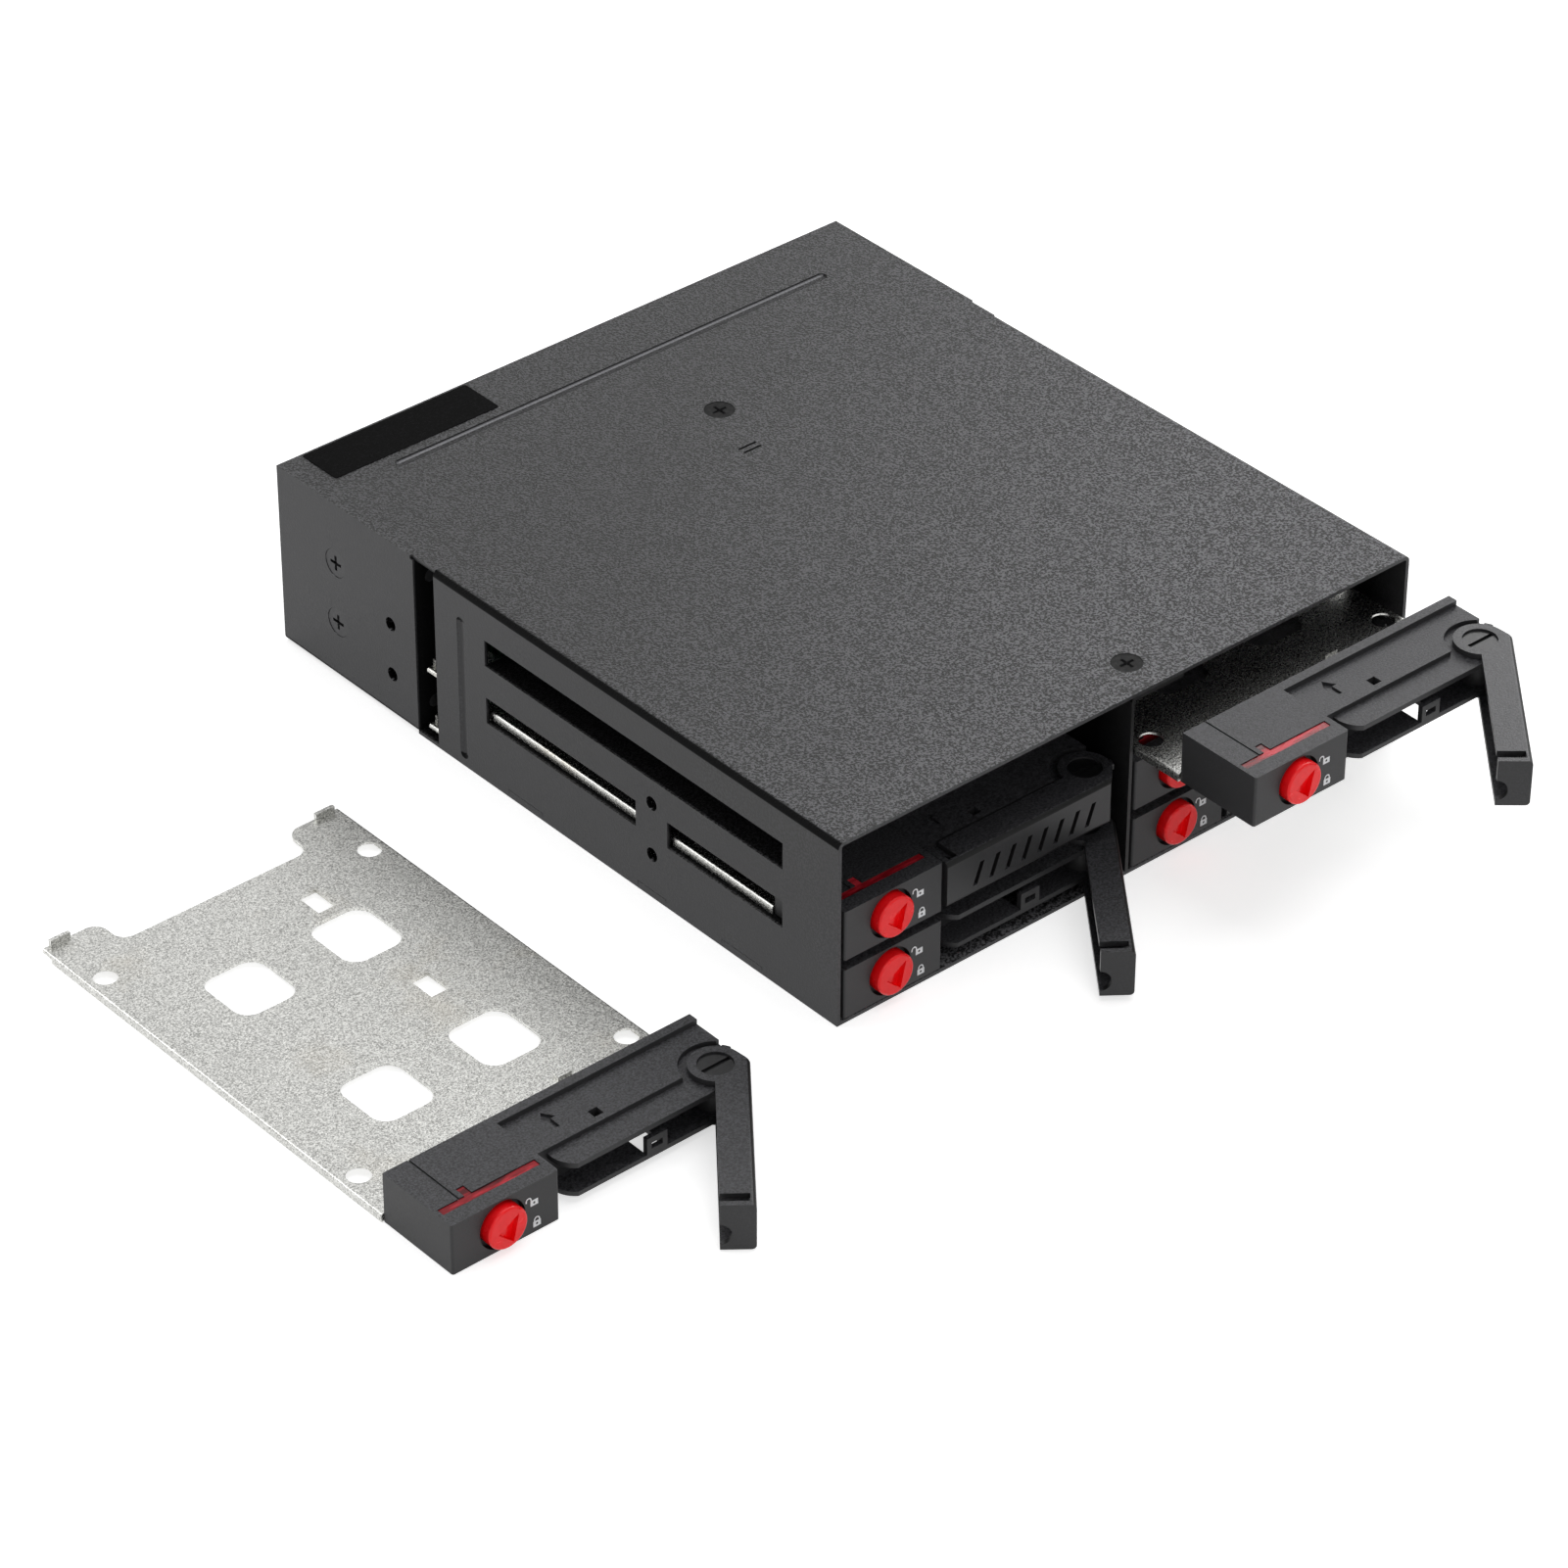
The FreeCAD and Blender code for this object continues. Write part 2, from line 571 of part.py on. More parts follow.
# ---- tray ---------------------------------------------------------------------------------
def tray_plate():
    """Steel plate with turned-down sides, ears, windows, drive holes and an earthing spring."""
    low = PLATE_TOP - SHEET
    notch_y = PLATE_END - PLATE_NOTCH_DEPTH
    n0, n1 = PLATE_MID - PLATE_NOTCH_WIDTH / 2, PLATE_MID + PLATE_NOTCH_WIDTH / 2
    side_y = BEZEL_DEPTH + RUN_GAP
    t0, t1 = MOULD_WALL + RUN_GAP, PLATE_RIGHT - MOULD_WALL
    outline = [V(t0, TONGUE_FRONT, low), V(t1, TONGUE_FRONT, low), V(t1, side_y, low),
               V(PLATE_RIGHT, side_y, low), V(PLATE_RIGHT, PLATE_END, low), V(n1, PLATE_END, low),
               V(n1, notch_y, low), V(n0, notch_y, low), V(n0, PLATE_END, low),
               V(PLATE_LEFT, PLATE_END, low), V(PLATE_LEFT, side_y, low), V(t0, side_y, low)]
    sheet = face(outline).extrude(V(0, 0, SHEET))
    sheet = round_edges(sheet, NOTCH_R, lambda m, w: abs(w.z) > 0.9 and m.y > notch_y - 1
                        and abs(abs(m.x - PLATE_MID) - PLATE_NOTCH_WIDTH / 2) < 0.01)
    pieces, cuts = [sheet], []
    for hand in (-1, 1):
        edge = PLATE_MID + hand * PLATE_WIDTH / 2
        a, b = sorted((edge, edge - hand * SHEET))
        pieces.append(box(a, b, side_y, PLATE_END - NOTCH_R, 0, PLATE_TOP))
        a, b = sorted((edge - hand * TAB_INSET, edge - hand * (TAB_INSET + TAB_WIDTH)))
        pieces.append(box(a, b, PLATE_END - SHEET, PLATE_END, low, PLATE_TOP + TAB_RISE))
        for row in (0, 1):
            x = PLATE_MID + hand * DRIVE_HOLE_SPAN_X / 2
            y = DRIVE_HOLE_Y + row * DRIVE_HOLE_SPAN_Y
            cuts.append(cone(x, y, low, DRIVE_HOLE_MOUTH_R, DRIVE_HOLE_R, SHEET / 2))
            cuts.append(rod(x, y, low + SHEET / 2, DRIVE_HOLE_R, SHEET))
            x = PLATE_MID + hand * WINDOW_SPAN_X / 2
            y = WINDOW_FRONT_Y + row * WINDOW_SPAN_Y
            cuts.append(rounded_prism(x, y, WINDOW_WIDTH, WINDOW_LENGTH, WINDOW_R, low, PLATE_TOP))
    spring_x = PLATE_MID + SPRING_X
    pieces.append(box(spring_x - SPRING_WIDTH / 2, spring_x + SPRING_WIDTH / 2,
                      SPRING_Y - SPRING_LENGTH / 2, SPRING_Y + SPRING_LENGTH / 2,
                      low, PLATE_TOP + SPRING_RISE))
    for row in (0, 1):
        y = EARTH_SLOT_FRONT_Y + row * EARTH_SLOT_SPAN_Y
        x = PLATE_MID + EARTH_SLOT_X
        cuts.append(box(x - EARTH_SLOT_WIDTH / 2, x + EARTH_SLOT_WIDTH / 2,
                        y - EARTH_SLOT_LENGTH / 2, y + EARTH_SLOT_LENGTH / 2, low, PLATE_TOP))
    for x in STAKE_X:
        cuts.append(rod(x, STAKE_Y, low, STAKE_R + FIT, SHEET))
    cuts.append(rod(HINGE_X, HINGE_Y, 0, RING_R + 2 * RUN_GAP, PLATE_TOP))
    body = join(pieces).cut(Part.makeCompound(cuts))
    return round_edges(body, SHEET * 0.75, lambda m, w: abs(w.y) > 0.9 and m.z > PLATE_TOP - 0.01
                       and abs(abs(m.x - PLATE_MID) - PLATE_WIDTH / 2) < 0.01)


def bezel_block():
    """Hollow moulded block with the recess and bore of the lock and the slot of the light pipe."""
    solid = box(0, BLOCK_WIDTH, 0, BEZEL_DEPTH, 0, BEZEL_HEIGHT)
    solid = round_edges(solid, BLOCK_EDGE_R, lambda m, w: abs(w.z) > 0.9 and m.y < 1)
    cavity = box(MOULD_WALL, BLOCK_WIDTH - MOULD_WALL, BLOCK_FRONT_WALL, BEZEL_DEPTH - MOULD_WALL,
                 0, BEZEL_HEIGHT - BLOCK_ROOF)
    plate_way = box(MOULD_WALL, BLOCK_WIDTH, TONGUE_FRONT - RUN_GAP, BEZEL_DEPTH,
                    0, PLATE_TOP + FIT)
    recess = rod(KNOB_X, 0, KNOB_Z, KNOB_RECESS_R, KNOB_RECESS_DEPTH, V(0, 1, 0))
    bore = rod(KNOB_X, 0, KNOB_Z, KNOB_SHAFT_R + FIT, BLOCK_FRONT_WALL, V(0, 1, 0))
    seam = box(SEAM_LEFT, SEAM_LEFT + SEAM_WIDTH, PIPE_FRONT + PIPE_WIDTH, BEZEL_DEPTH,
               BEZEL_HEIGHT - SEAM_DEPTH, BEZEL_HEIGHT)
    return solid.cut(Part.makeCompound([cavity, plate_way, recess, bore, seam,
                                        light_pipe_body(SEAT_GAP / 2, BEZEL_HEIGHT)]))


def light_pipe_body(grow, top):
    """Strip with a short tail up to a height, grown on every side but the top by a clearance."""
    low = BEZEL_HEIGHT - PIPE_DEPTH - grow
    strip = box(PIPE_LEFT - grow, PIPE_RIGHT + grow, PIPE_FRONT - grow,
                PIPE_FRONT + PIPE_WIDTH + grow, low, top)
    tail = box(PIPE_TAIL_X - grow, PIPE_TAIL_X + PIPE_TAIL_WIDTH + grow, PIPE_FRONT,
               PIPE_TAIL_END + grow, low, top)
    return join([strip, tail])


def shelf_outline(z, front):
    """Front shelf under the lever's flange, with its left end rounded back to the block."""
    back = PANEL_FRONT + SHELF_LAP
    start = V(SHELF_LEFT, front, z)
    end = V(SHELF_LEFT - SHELF_END_REACH, front + SHELF_END_R, z)
    bulge = V(SHELF_LEFT - SHELF_END_REACH * 0.72, front + SHELF_END_R * 0.36, z)
    corners = [start, V(HINGE_X, front, z), V(HINGE_X, back, z), V(end.x, back, z), end]
    lines = [Part.makeLine(a, b) for a, b in zip(corners, corners[1:])]
    lines.append(Part.Arc(end, bulge, start).toShape())
    return Part.Face(Part.Wire(lines))


def carrier():
    """Stepped top, rear wall, sill and back of the lever's channel, catch and hinge boss."""
    right = TRAY_WIDTH
    left = BLOCK_WIDTH - MOULD_WALL
    rim_front = BEZEL_DEPTH - RIM_DEPTH
    shelf_low = SHELF_TOP - SHELF_THICK
    shelf = shelf_outline(shelf_low, SHELF_FRONT).extrude(V(0, 0, SHELF_THICK))
    deck = box(left, right, PANEL_FRONT, BEZEL_DEPTH, shelf_low, SHELF_TOP)
    panel = box(left, right, PANEL_FRONT, BEZEL_DEPTH, SHELF_TOP, PANEL_TOP)
    rim = box(left, right, rim_front, BEZEL_DEPTH, PANEL_TOP, BEZEL_HEIGHT)
    rear = box(left, right, BEZEL_DEPTH - MOULD_WALL, BEZEL_DEPTH, PLATE_TOP, SHELF_TOP)
    end = box(right - MOULD_WALL, right, HINGE_Y + RING_R, BEZEL_DEPTH, PLATE_TOP, SHELF_TOP)
    sill = shelf_outline(SILL_LOW, SHELF_FRONT).extrude(V(0, 0, SILL_TOP - SILL_LOW))
    back = box(left, HINGE_X, PANEL_FRONT, PANEL_FRONT + CHANNEL_WALL, SILL_LOW, shelf_low)
    post = rod(HINGE_X, HINGE_Y, SILL_LOW, BOSS_R, SHELF_TOP - SILL_LOW)
    stub = rod(HINGE_X, HINGE_Y, LEVER_LOW, PIN_HEAD_R, SILL_LOW - LEVER_LOW)
    rib = box(HINGE_X - RIB_WIDTH / 2, HINGE_X + RIB_WIDTH / 2, HINGE_Y, BEZEL_DEPTH,
              PLATE_TOP + 1, shelf_low)
    catch = box(CATCH_X, CATCH_X + CATCH_WIDTH, SHELF_FRONT, SHELF_FRONT + LEVER_WEB,
                SILL_TOP, SILL_TOP + CATCH_HEIGHT)
    pieces = [shelf, deck, panel, rim, rear, end, sill, back, post, stub, rib, catch]
    for x in STAKE_X:
        pieces.append(rod(x, STAKE_Y, PLATE_TOP, STAKE_BOSS_R, shelf_low - PLATE_TOP))
        pieces.append(rod(x, STAKE_Y, PLATE_TOP - SHEET - STAKE_END, STAKE_R, SHEET + STAKE_END))
    slot_mid = SILL_TOP + CATCH_HEIGHT * CATCH_SLOT_SHARE
    slot = box(CATCH_X + (CATCH_WIDTH - CATCH_SLOT_WIDTH) / 2,
               CATCH_X + (CATCH_WIDTH + CATCH_SLOT_WIDTH) / 2, SHELF_FRONT,
               SHELF_FRONT + LEVER_WEB, slot_mid - CATCH_SLOT_HEIGHT / 2,
               slot_mid + CATCH_SLOT_HEIGHT / 2)
    cuts = [rod(HINGE_X, HINGE_Y, SHELF_TOP, RING_RECESS_R, BEZEL_HEIGHT - SHELF_TOP),
            box(HINGE_X, right, 0, HINGE_Y + RING_R, SHELF_TOP, BEZEL_HEIGHT),
            rod(HINGE_X, HINGE_Y, SILL_TOP + PIN_SHANK_LOW - PIN_END_GAP, PIN_SHANK_R + FIT,
                SHELF_TOP),
            box(CATCH_X, CATCH_X + CATCH_WIDTH, SHELF_FRONT + LEVER_WEB,
                SHELF_FRONT + LEVER_WEB + CATCH_ROOM, SILL_LOW, SILL_TOP),
            box(SQUARE_X - SQUARE_SIDE / 2, SQUARE_X + SQUARE_SIDE / 2, SQUARE_Y - SQUARE_SIDE / 2,
                SQUARE_Y + SQUARE_SIDE / 2, shelf_low, PANEL_TOP),
            arrow_mark(), slot]
    for n in range(REAR_VENTS):
        x0 = BLOCK_WIDTH + REAR_VENT_MARGIN + n * REAR_VENT_PITCH
        cuts.append(box(x0, x0 + REAR_VENT_WIDTH, BEZEL_DEPTH - MOULD_WALL, BEZEL_DEPTH,
                        PLATE_TOP + REAR_VENT_LOW, shelf_low - REAR_VENT_TOP))
    return join(pieces).cut(Part.makeCompound(cuts))


def arrow_mark():
    """Shallow arrow in the panel that points to the rear: this side up."""
    z = PANEL_TOP - ARROW_SINK
    wide, slim = ARROW_HEAD_WIDTH / 2, ARROW_SHAFT_WIDTH / 2
    head = [V(ARROW_X - wide, ARROW_Y, z), V(ARROW_X + wide, ARROW_Y, z),
            V(ARROW_X, ARROW_Y + ARROW_HEAD_LENGTH, z)]
    shaft = box(ARROW_X - slim, ARROW_X + slim, ARROW_Y - ARROW_SHAFT_LENGTH, ARROW_Y,
                z, PANEL_TOP)
    return join([face(head).extrude(V(0, 0, ARROW_SINK)), shaft])


def bezel():
    return join([bezel_block(), carrier()])


def lever_outline(z):
    """Flange of the lever: a straight arm with a shoulder and the hinge ring."""
    corner = V(HINGE_X + LEVER_SHOULDER, LEVER_FRONT, z)
    reach = math.hypot(LEVER_SHOULDER, HINGE_Y - LEVER_FRONT)
    turn = math.atan2(LEVER_FRONT - HINGE_Y, LEVER_SHOULDER) + math.acos(RING_R / reach)
    touch = V(HINGE_X + RING_R * math.cos(turn), HINGE_Y + RING_R * math.sin(turn), z)
    back = LEVER_FRONT + LEVER_DEPTH
    tip = LEVER_TIP + LEVER_END_WALL + TIP_GAP
    return face([V(tip, LEVER_FRONT, z), corner, touch, V(HINGE_X, HINGE_Y, z),
                 V(HINGE_X, back, z), V(tip, back, z)])


def vent(number):
    """One leaning vent slot of the lever's web."""
    mid = VENT_FIRST + number * VENT_PITCH
    half, lean = VENT_WIDTH / 2, VENT_LEAN / 2
    low, high, y = VENT_LOW, VENT_HIGH, LEVER_FRONT - OVERCUT
    corners = [V(mid - lean - half, y, low), V(mid - lean + half, y, low),
               V(mid + lean + half, y, high), V(mid + lean - half, y, high)]
    return face(corners).extrude(V(0, LEVER_WEB + 2 * OVERCUT, 0))


def lever():
    """Channel-section pull lever, drawn closed."""
    back = LEVER_FRONT + LEVER_DEPTH
    web = box(LEVER_TIP, HINGE_X + LEVER_SHOULDER, LEVER_FRONT, LEVER_FRONT + LEVER_WEB,
              LEVER_LOW, LEVER_TOP)
    tip = box(LEVER_TIP, LEVER_TIP + LEVER_END_WALL, LEVER_FRONT, back, LEVER_LOW, LEVER_TOP)
    pieces = [web, tip]
    for z in (LEVER_LOW, LEVER_TOP - FLANGE):
        arm = lever_outline(z).extrude(V(0, 0, FLANGE))
        pieces += [arm, rod(HINGE_X, HINGE_Y, z, RING_R, FLANGE)]
    sole = box(LEVER_TIP, LEVER_TIP + LEVER_END_WALL + TIP_GAP, LEVER_FRONT, back,
               LEVER_LOW, LEVER_LOW + FLANGE)
    tooth = tube_section(RING_R - TOOTH_ROOT, RING_R + TOOTH_RISE, LEVER_TOP - FLANGE, LEVER_TOP,
                         TOOTH_ANGLE - TOOTH_SPREAD, TOOTH_ANGLE + TOOTH_SPREAD)
    tooth.translate(V(HINGE_X, HINGE_Y, 0))
    body = join(pieces + [sole, tooth])
    body = round_edges(body, LEVER_EDGE_R, lambda m, w: abs(w.x) > 0.9 and m.y < LEVER_FRONT + 0.01
                       and (m.z < LEVER_LOW + 0.01 or m.z > LEVER_TOP - 0.01))
    cuts = [vent(number) for number in range(VENTS)]
    cuts.append(rod(HINGE_X, HINGE_Y, LEVER_LOW, PIN_HEAD_R + FIT, LEVER_TOP))
    cuts.append(rod(LEVER_TIP - OVERCUT, back, LEVER_LOW + FLANGE + THUMB_R, THUMB_R,
                    LEVER_END_WALL + 2 * OVERCUT, V(1, 0, 0)))
    return body.cut(Part.makeCompound(cuts))


def hinge_pin():
    """Slotted pivot pin: its head turns in the lever's upper ring, its shank is in the boss."""
    head = rod(HINGE_X, HINGE_Y, SHELF_TOP, PIN_HEAD_R, PIN_HEAD_TOP - SHELF_TOP)
    shank_low = SILL_TOP + PIN_SHANK_LOW
    shank = rod(HINGE_X, HINGE_Y, shank_low, PIN_SHANK_R, SHELF_TOP - shank_low)
    slot = box(-PIN_HEAD_R, PIN_HEAD_R, -PIN_SLOT_WIDTH / 2, PIN_SLOT_WIDTH / 2,
               PIN_HEAD_TOP - PIN_SLOT_DEPTH, PIN_HEAD_TOP)
    slot.translate(V(HINGE_X, HINGE_Y, 0))
    return join([head, shank]).cut(slot)


def lock_knob():
    """Rotary lock: head with an arrow recess, shaft through the bezel and a cam disc behind it."""
    front = -KNOB_PROUD
    back = KNOB_RECESS_DEPTH - RUN_GAP
    head = rod(0, front, 0, KNOB_R, back - front, V(0, 1, 0))
    rims = [e for e in head.Edges if abs(e.BoundBox.YMax - front) < 0.01]
    head = head.makeFillet(KNOB_EDGE_R, rims)
    shaft = rod(0, back, 0, KNOB_SHAFT_R, BLOCK_FRONT_WALL + RUN_GAP - back, V(0, 1, 0))
    cam = rod(0, BLOCK_FRONT_WALL + RUN_GAP, 0, KNOB_CAM_R, KNOB_CAM_THICK, V(0, 1, 0))
    mark = face([V(x, front, z) for x, z in ARROW_RECESS])
    body = join([head, shaft, cam]).cut(mark.extrude(V(0, ARROW_RECESS_DEPTH, 0)))
    body.translate(V(KNOB_X, 0, KNOB_Z))
    return body


def tray_pieces(lever_turn):
    """Shapes of one tray in its own frame, with the lever turned open by an angle."""
    arm = lever()
    arm.rotate(V(HINGE_X, HINGE_Y, 0), V(0, 0, 1), lever_turn)
    return {"plate": tray_plate(), "bezel": bezel(), "lever": arm, "lock_knob": lock_knob(),
            "light_pipe": light_pipe_body(0, BEZEL_HEIGHT - PIPE_SUNK), "hinge_pin": hinge_pin()}


def write_trays():
    places = {}
    for (side, row), (pulled, turn) in TRAYS.items():
        places[(side, row)] = (V(tray_left(side), -pulled, row_floor(row)), turn)
    loose_x = -HALF_WIDTH - LOOSE_DISTANCE - TRAY_WIDTH
    places[LOOSE_TRAY] = (V(loose_x, LOOSE_Y, 0), LOOSE_ANGLE)
    for (side, row), (place, turn) in places.items():
        for piece, shape in tray_pieces(turn).items():
            shape.translate(place)
            write("tray_%s_%s_%s" % (row, side, piece), shape)


# ---- screws -------------------------------------------------------------------------------
def flat_screw():
    """Flat-headed screw along -Z with its head's top at the origin and a cross in it."""
    head = cone(0, 0, -SCREW_CONE, SCREW_SHANK_R, SCREW_HEAD_R, SCREW_CONE)
    shank = rod(0, 0, -SCREW_LENGTH, SCREW_SHANK_R, SCREW_LENGTH - SCREW_CONE)
    arm, half = CROSS_HALF, CROSS_WIDTH / 2
    cross = [box(-arm, arm, -half, half, -CROSS_WIDTH, 0),
             box(-half, half, -arm, arm, -CROSS_WIDTH, 0)]
    return join([head, shank]).cut(join(cross))


def side_screw_seat(inward, z):
    """Cone and shank room for a flat-headed screw through a rear side wall."""
    axis = V(inward, 0, 0)
    x = -inward * (HALF_WIDTH - SEAT_GAP)
    head = cone(x, SIDE_SCREW_Y, z, SCREW_HEAD_R + FIT, SCREW_SHANK_R + FIT, SCREW_CONE, axis)
    mouth = rod(x, SIDE_SCREW_Y, z, SCREW_HEAD_R + FIT, 2 * SEAT_GAP, V(-inward, 0, 0))
    shank = rod(x, SIDE_SCREW_Y, z, SCREW_SHANK_R + FIT, SCREW_LENGTH + 1, axis)
    return join([head, mouth, shank])


def roof_screws():
    screws = []
    for y in ROOF_SCREW_Y:
        screw = flat_screw()
        screw.translate(V(ROOF_SCREW_X, y, CAGE_HEIGHT - SEAT_GAP))
        screws.append(screw)
    return Part.makeCompound(screws)


def side_screws():
    screws = []
    for inward in (1, -1):
        for z in SIDE_SCREW_Z:
            screw = flat_screw()
            screw.rotate(V(0, 0, 0), V(0, 1, 0), -inward * 90)
            screw.translate(V(-inward * (HALF_WIDTH - SEAT_GAP), SIDE_SCREW_Y, z))
            screws.append(screw)
    return Part.makeCompound(screws)


def pan_screw(length):
    """Pan-headed screw along -Y with the underside of its head at the origin."""
    head = rod(0, 0, 0, PAN_HEAD_R, PAN_HEAD_HEIGHT, V(0, 1, 0))
    shank = rod(0, -length, 0, SCREW_SHANK_R, length, V(0, 1, 0))
    return join([head, shank])


# ---- backplane ----------------------------------------------------------------------------
def board_screw_places():
    """Places of the four board screws on the flanges of the rear walls."""
    x = HALF_WIDTH - SHEET - BOARD_SCREW_INSET
    return [(sx * x, z) for sx in (-1, 1)
            for z in (BOARD_SCREW_EDGE, CAGE_HEIGHT - BOARD_SCREW_EDGE)]


def board_screws():
    screws = []
    for x, z in board_screw_places():
        screw = pan_screw(BOARD_THICK + SHEET - SEAT_GAP)
        screw.translate(V(x, BOARD_REAR, z))
        screws.append(screw)
    return Part.makeCompound(screws)


def bay_middle(side):
    """X of the middle of the drive in a column."""
    return tray_left(side) + PLATE_MID


def backplane_board():
    half = HALF_WIDTH - SHEET - BOARD_EDGE_GAP
    board = box(-half, half, BOARD_FRONT, BOARD_REAR, SHEET + BOARD_EDGE_GAP,
                ROOF_LOW - BOARD_EDGE_GAP)
    cuts = [box(ROOF_SCREW_X - TONGUE_WIDTH / 2 - BOARD_EDGE_GAP,
                ROOF_SCREW_X + TONGUE_WIDTH / 2 + BOARD_EDGE_GAP, BOARD_FRONT, BOARD_REAR,
                CAGE_HEIGHT - SCREW_LENGTH - BOARD_EDGE_GAP - SEAT_GAP, ROOF_LOW)]
    for x, z in board_screw_places():
        cuts.append(rod(x, BOARD_FRONT, z, SCREW_SHANK_R + FIT, BOARD_THICK, V(0, 1, 0)))
    for side in SIDES:
        for row in ROW_NAMES:
            x = bay_middle(side) + SOCKET_OFFSET_X - SOCKET_WIDTH / 2 - BOARD_VENT_MARGIN
            z = row_floor(row) + SOCKET_CENTRE_Z
            cuts.append(box(x - BOARD_VENT_WIDTH, x, BOARD_FRONT, BOARD_REAR,
                            z - BOARD_VENT_HEIGHT / 2, z + BOARD_VENT_HEIGHT / 2))
    return board.cut(Part.makeCompound(cuts))


def drive_sockets():
    """Six combined data and power sockets that face the drives."""
    sockets = []
    for side in SIDES:
        for row in ROW_NAMES:
            x = bay_middle(side) + SOCKET_OFFSET_X
            z = row_floor(row) + SOCKET_CENTRE_Z
            half = SOCKET_HEIGHT / 2
            front = BOARD_FRONT - SOCKET_DEPTH
            body = box(x - SOCKET_WIDTH / 2, x + SOCKET_WIDTH / 2, front, BOARD_FRONT,
                       z - half, z + half)
            left = x - SOCKET_WIDTH / 2
            slots = []
            for start, width in ((DATA_SLOT_LEFT, DATA_SLOT_WIDTH),
                                 (POWER_SLOT_LEFT, POWER_SLOT_WIDTH)):
                slots.append(box(left + start, left + start + width, front,
                                 BOARD_FRONT - SOCKET_FLOOR, z - SLOT_BELOW, z + SLOT_ABOVE))
            sockets.append(body.cut(Part.makeCompound(slots)))
    return Part.makeCompound(sockets)


def data_ports():
    """Six shrouded seven-contact ports on the rear of the board."""
    ports = []
    for hand in (-1, 1):
        for row in range(ROWS):
            z = FAN_Z + (row - (ROWS - 1) / 2) * (PORT_HEIGHT + PORT_GAP_Z)
            x = hand * PORT_X
            half_w, half_h = PORT_WIDTH / 2, PORT_HEIGHT / 2
            body = box(x - half_w, x + half_w, BOARD_REAR, BOARD_REAR + PORT_DEPTH,
                       z - half_h, z + half_h)
            floor = BOARD_REAR + CONNECTOR_FLOOR
            room = box(x - half_w + CONNECTOR_WALL, x + half_w - CONNECTOR_WALL, floor,
                       BOARD_REAR + PORT_DEPTH, z - half_h + CONNECTOR_WALL,
                       z + half_h - CONNECTOR_WALL)
            tongue = box(x - PORT_TONGUE_WIDTH / 2, x + PORT_TONGUE_WIDTH / 2, floor,
                         BOARD_REAR + PORT_DEPTH - PORT_TONGUE_SHORT,
                         z - PORT_TONGUE_THICK / 2, z + PORT_TONGUE_THICK / 2)
            ports.append(join([body.cut(room), tongue]))
    return Part.makeCompound(ports)


def power_sockets():
    """Two four-pin power sockets with chamfered lower corners."""
    sockets = []
    for hand in (-1, 1):
        z = FAN_Z + hand * (POWER_HEIGHT + POWER_GAP_Z) / 2
        half_w, half_h = POWER_WIDTH / 2, POWER_HEIGHT / 2
        outer = box(-half_w, half_w, BOARD_REAR, BOARD_REAR + POWER_DEPTH,
                    z - half_h, z + half_h)
        outer = outer.makeChamfer(POWER_KEY, [e for e in outer.Edges
                                        if abs(e.BoundBox.YLength - POWER_DEPTH) < 0.01
                                        and e.BoundBox.ZMax < z])
        wall = CONNECTOR_WALL
        room = box(-half_w + wall, half_w - wall, BOARD_REAR + CONNECTOR_FLOOR,
                   BOARD_REAR + POWER_DEPTH, z - half_h + wall, z + half_h - wall)
        room_depth = POWER_DEPTH - CONNECTOR_FLOOR
        room = room.makeChamfer(POWER_KEY * 0.75, [e for e in room.Edges
                                      if abs(e.BoundBox.YLength - room_depth) < 0.01
                                      and e.BoundBox.ZMax < z])
        pins = [rod((n - 1.5) * POWER_PIN_PITCH, BOARD_REAR + CONNECTOR_FLOOR, z, POWER_PIN_R,
                    room_depth - CONNECTOR_FLOOR, V(0, 1, 0)) for n in range(4)]
        sockets.append(join([outer.cut(room)] + pins))
    return Part.makeCompound(sockets)


# ---- rear panel and fans ------------------------------------------------------------------
def on_fan(shape, hand):
    """Turns a shape drawn about +Z so that it lies about the fan's axis along +Y."""
    moved = shape.copy()
    moved.rotate(V(0, 0, 0), V(1, 0, 0), -90)
    moved.translate(V(hand * FAN_X, 0, FAN_Z))
    return moved


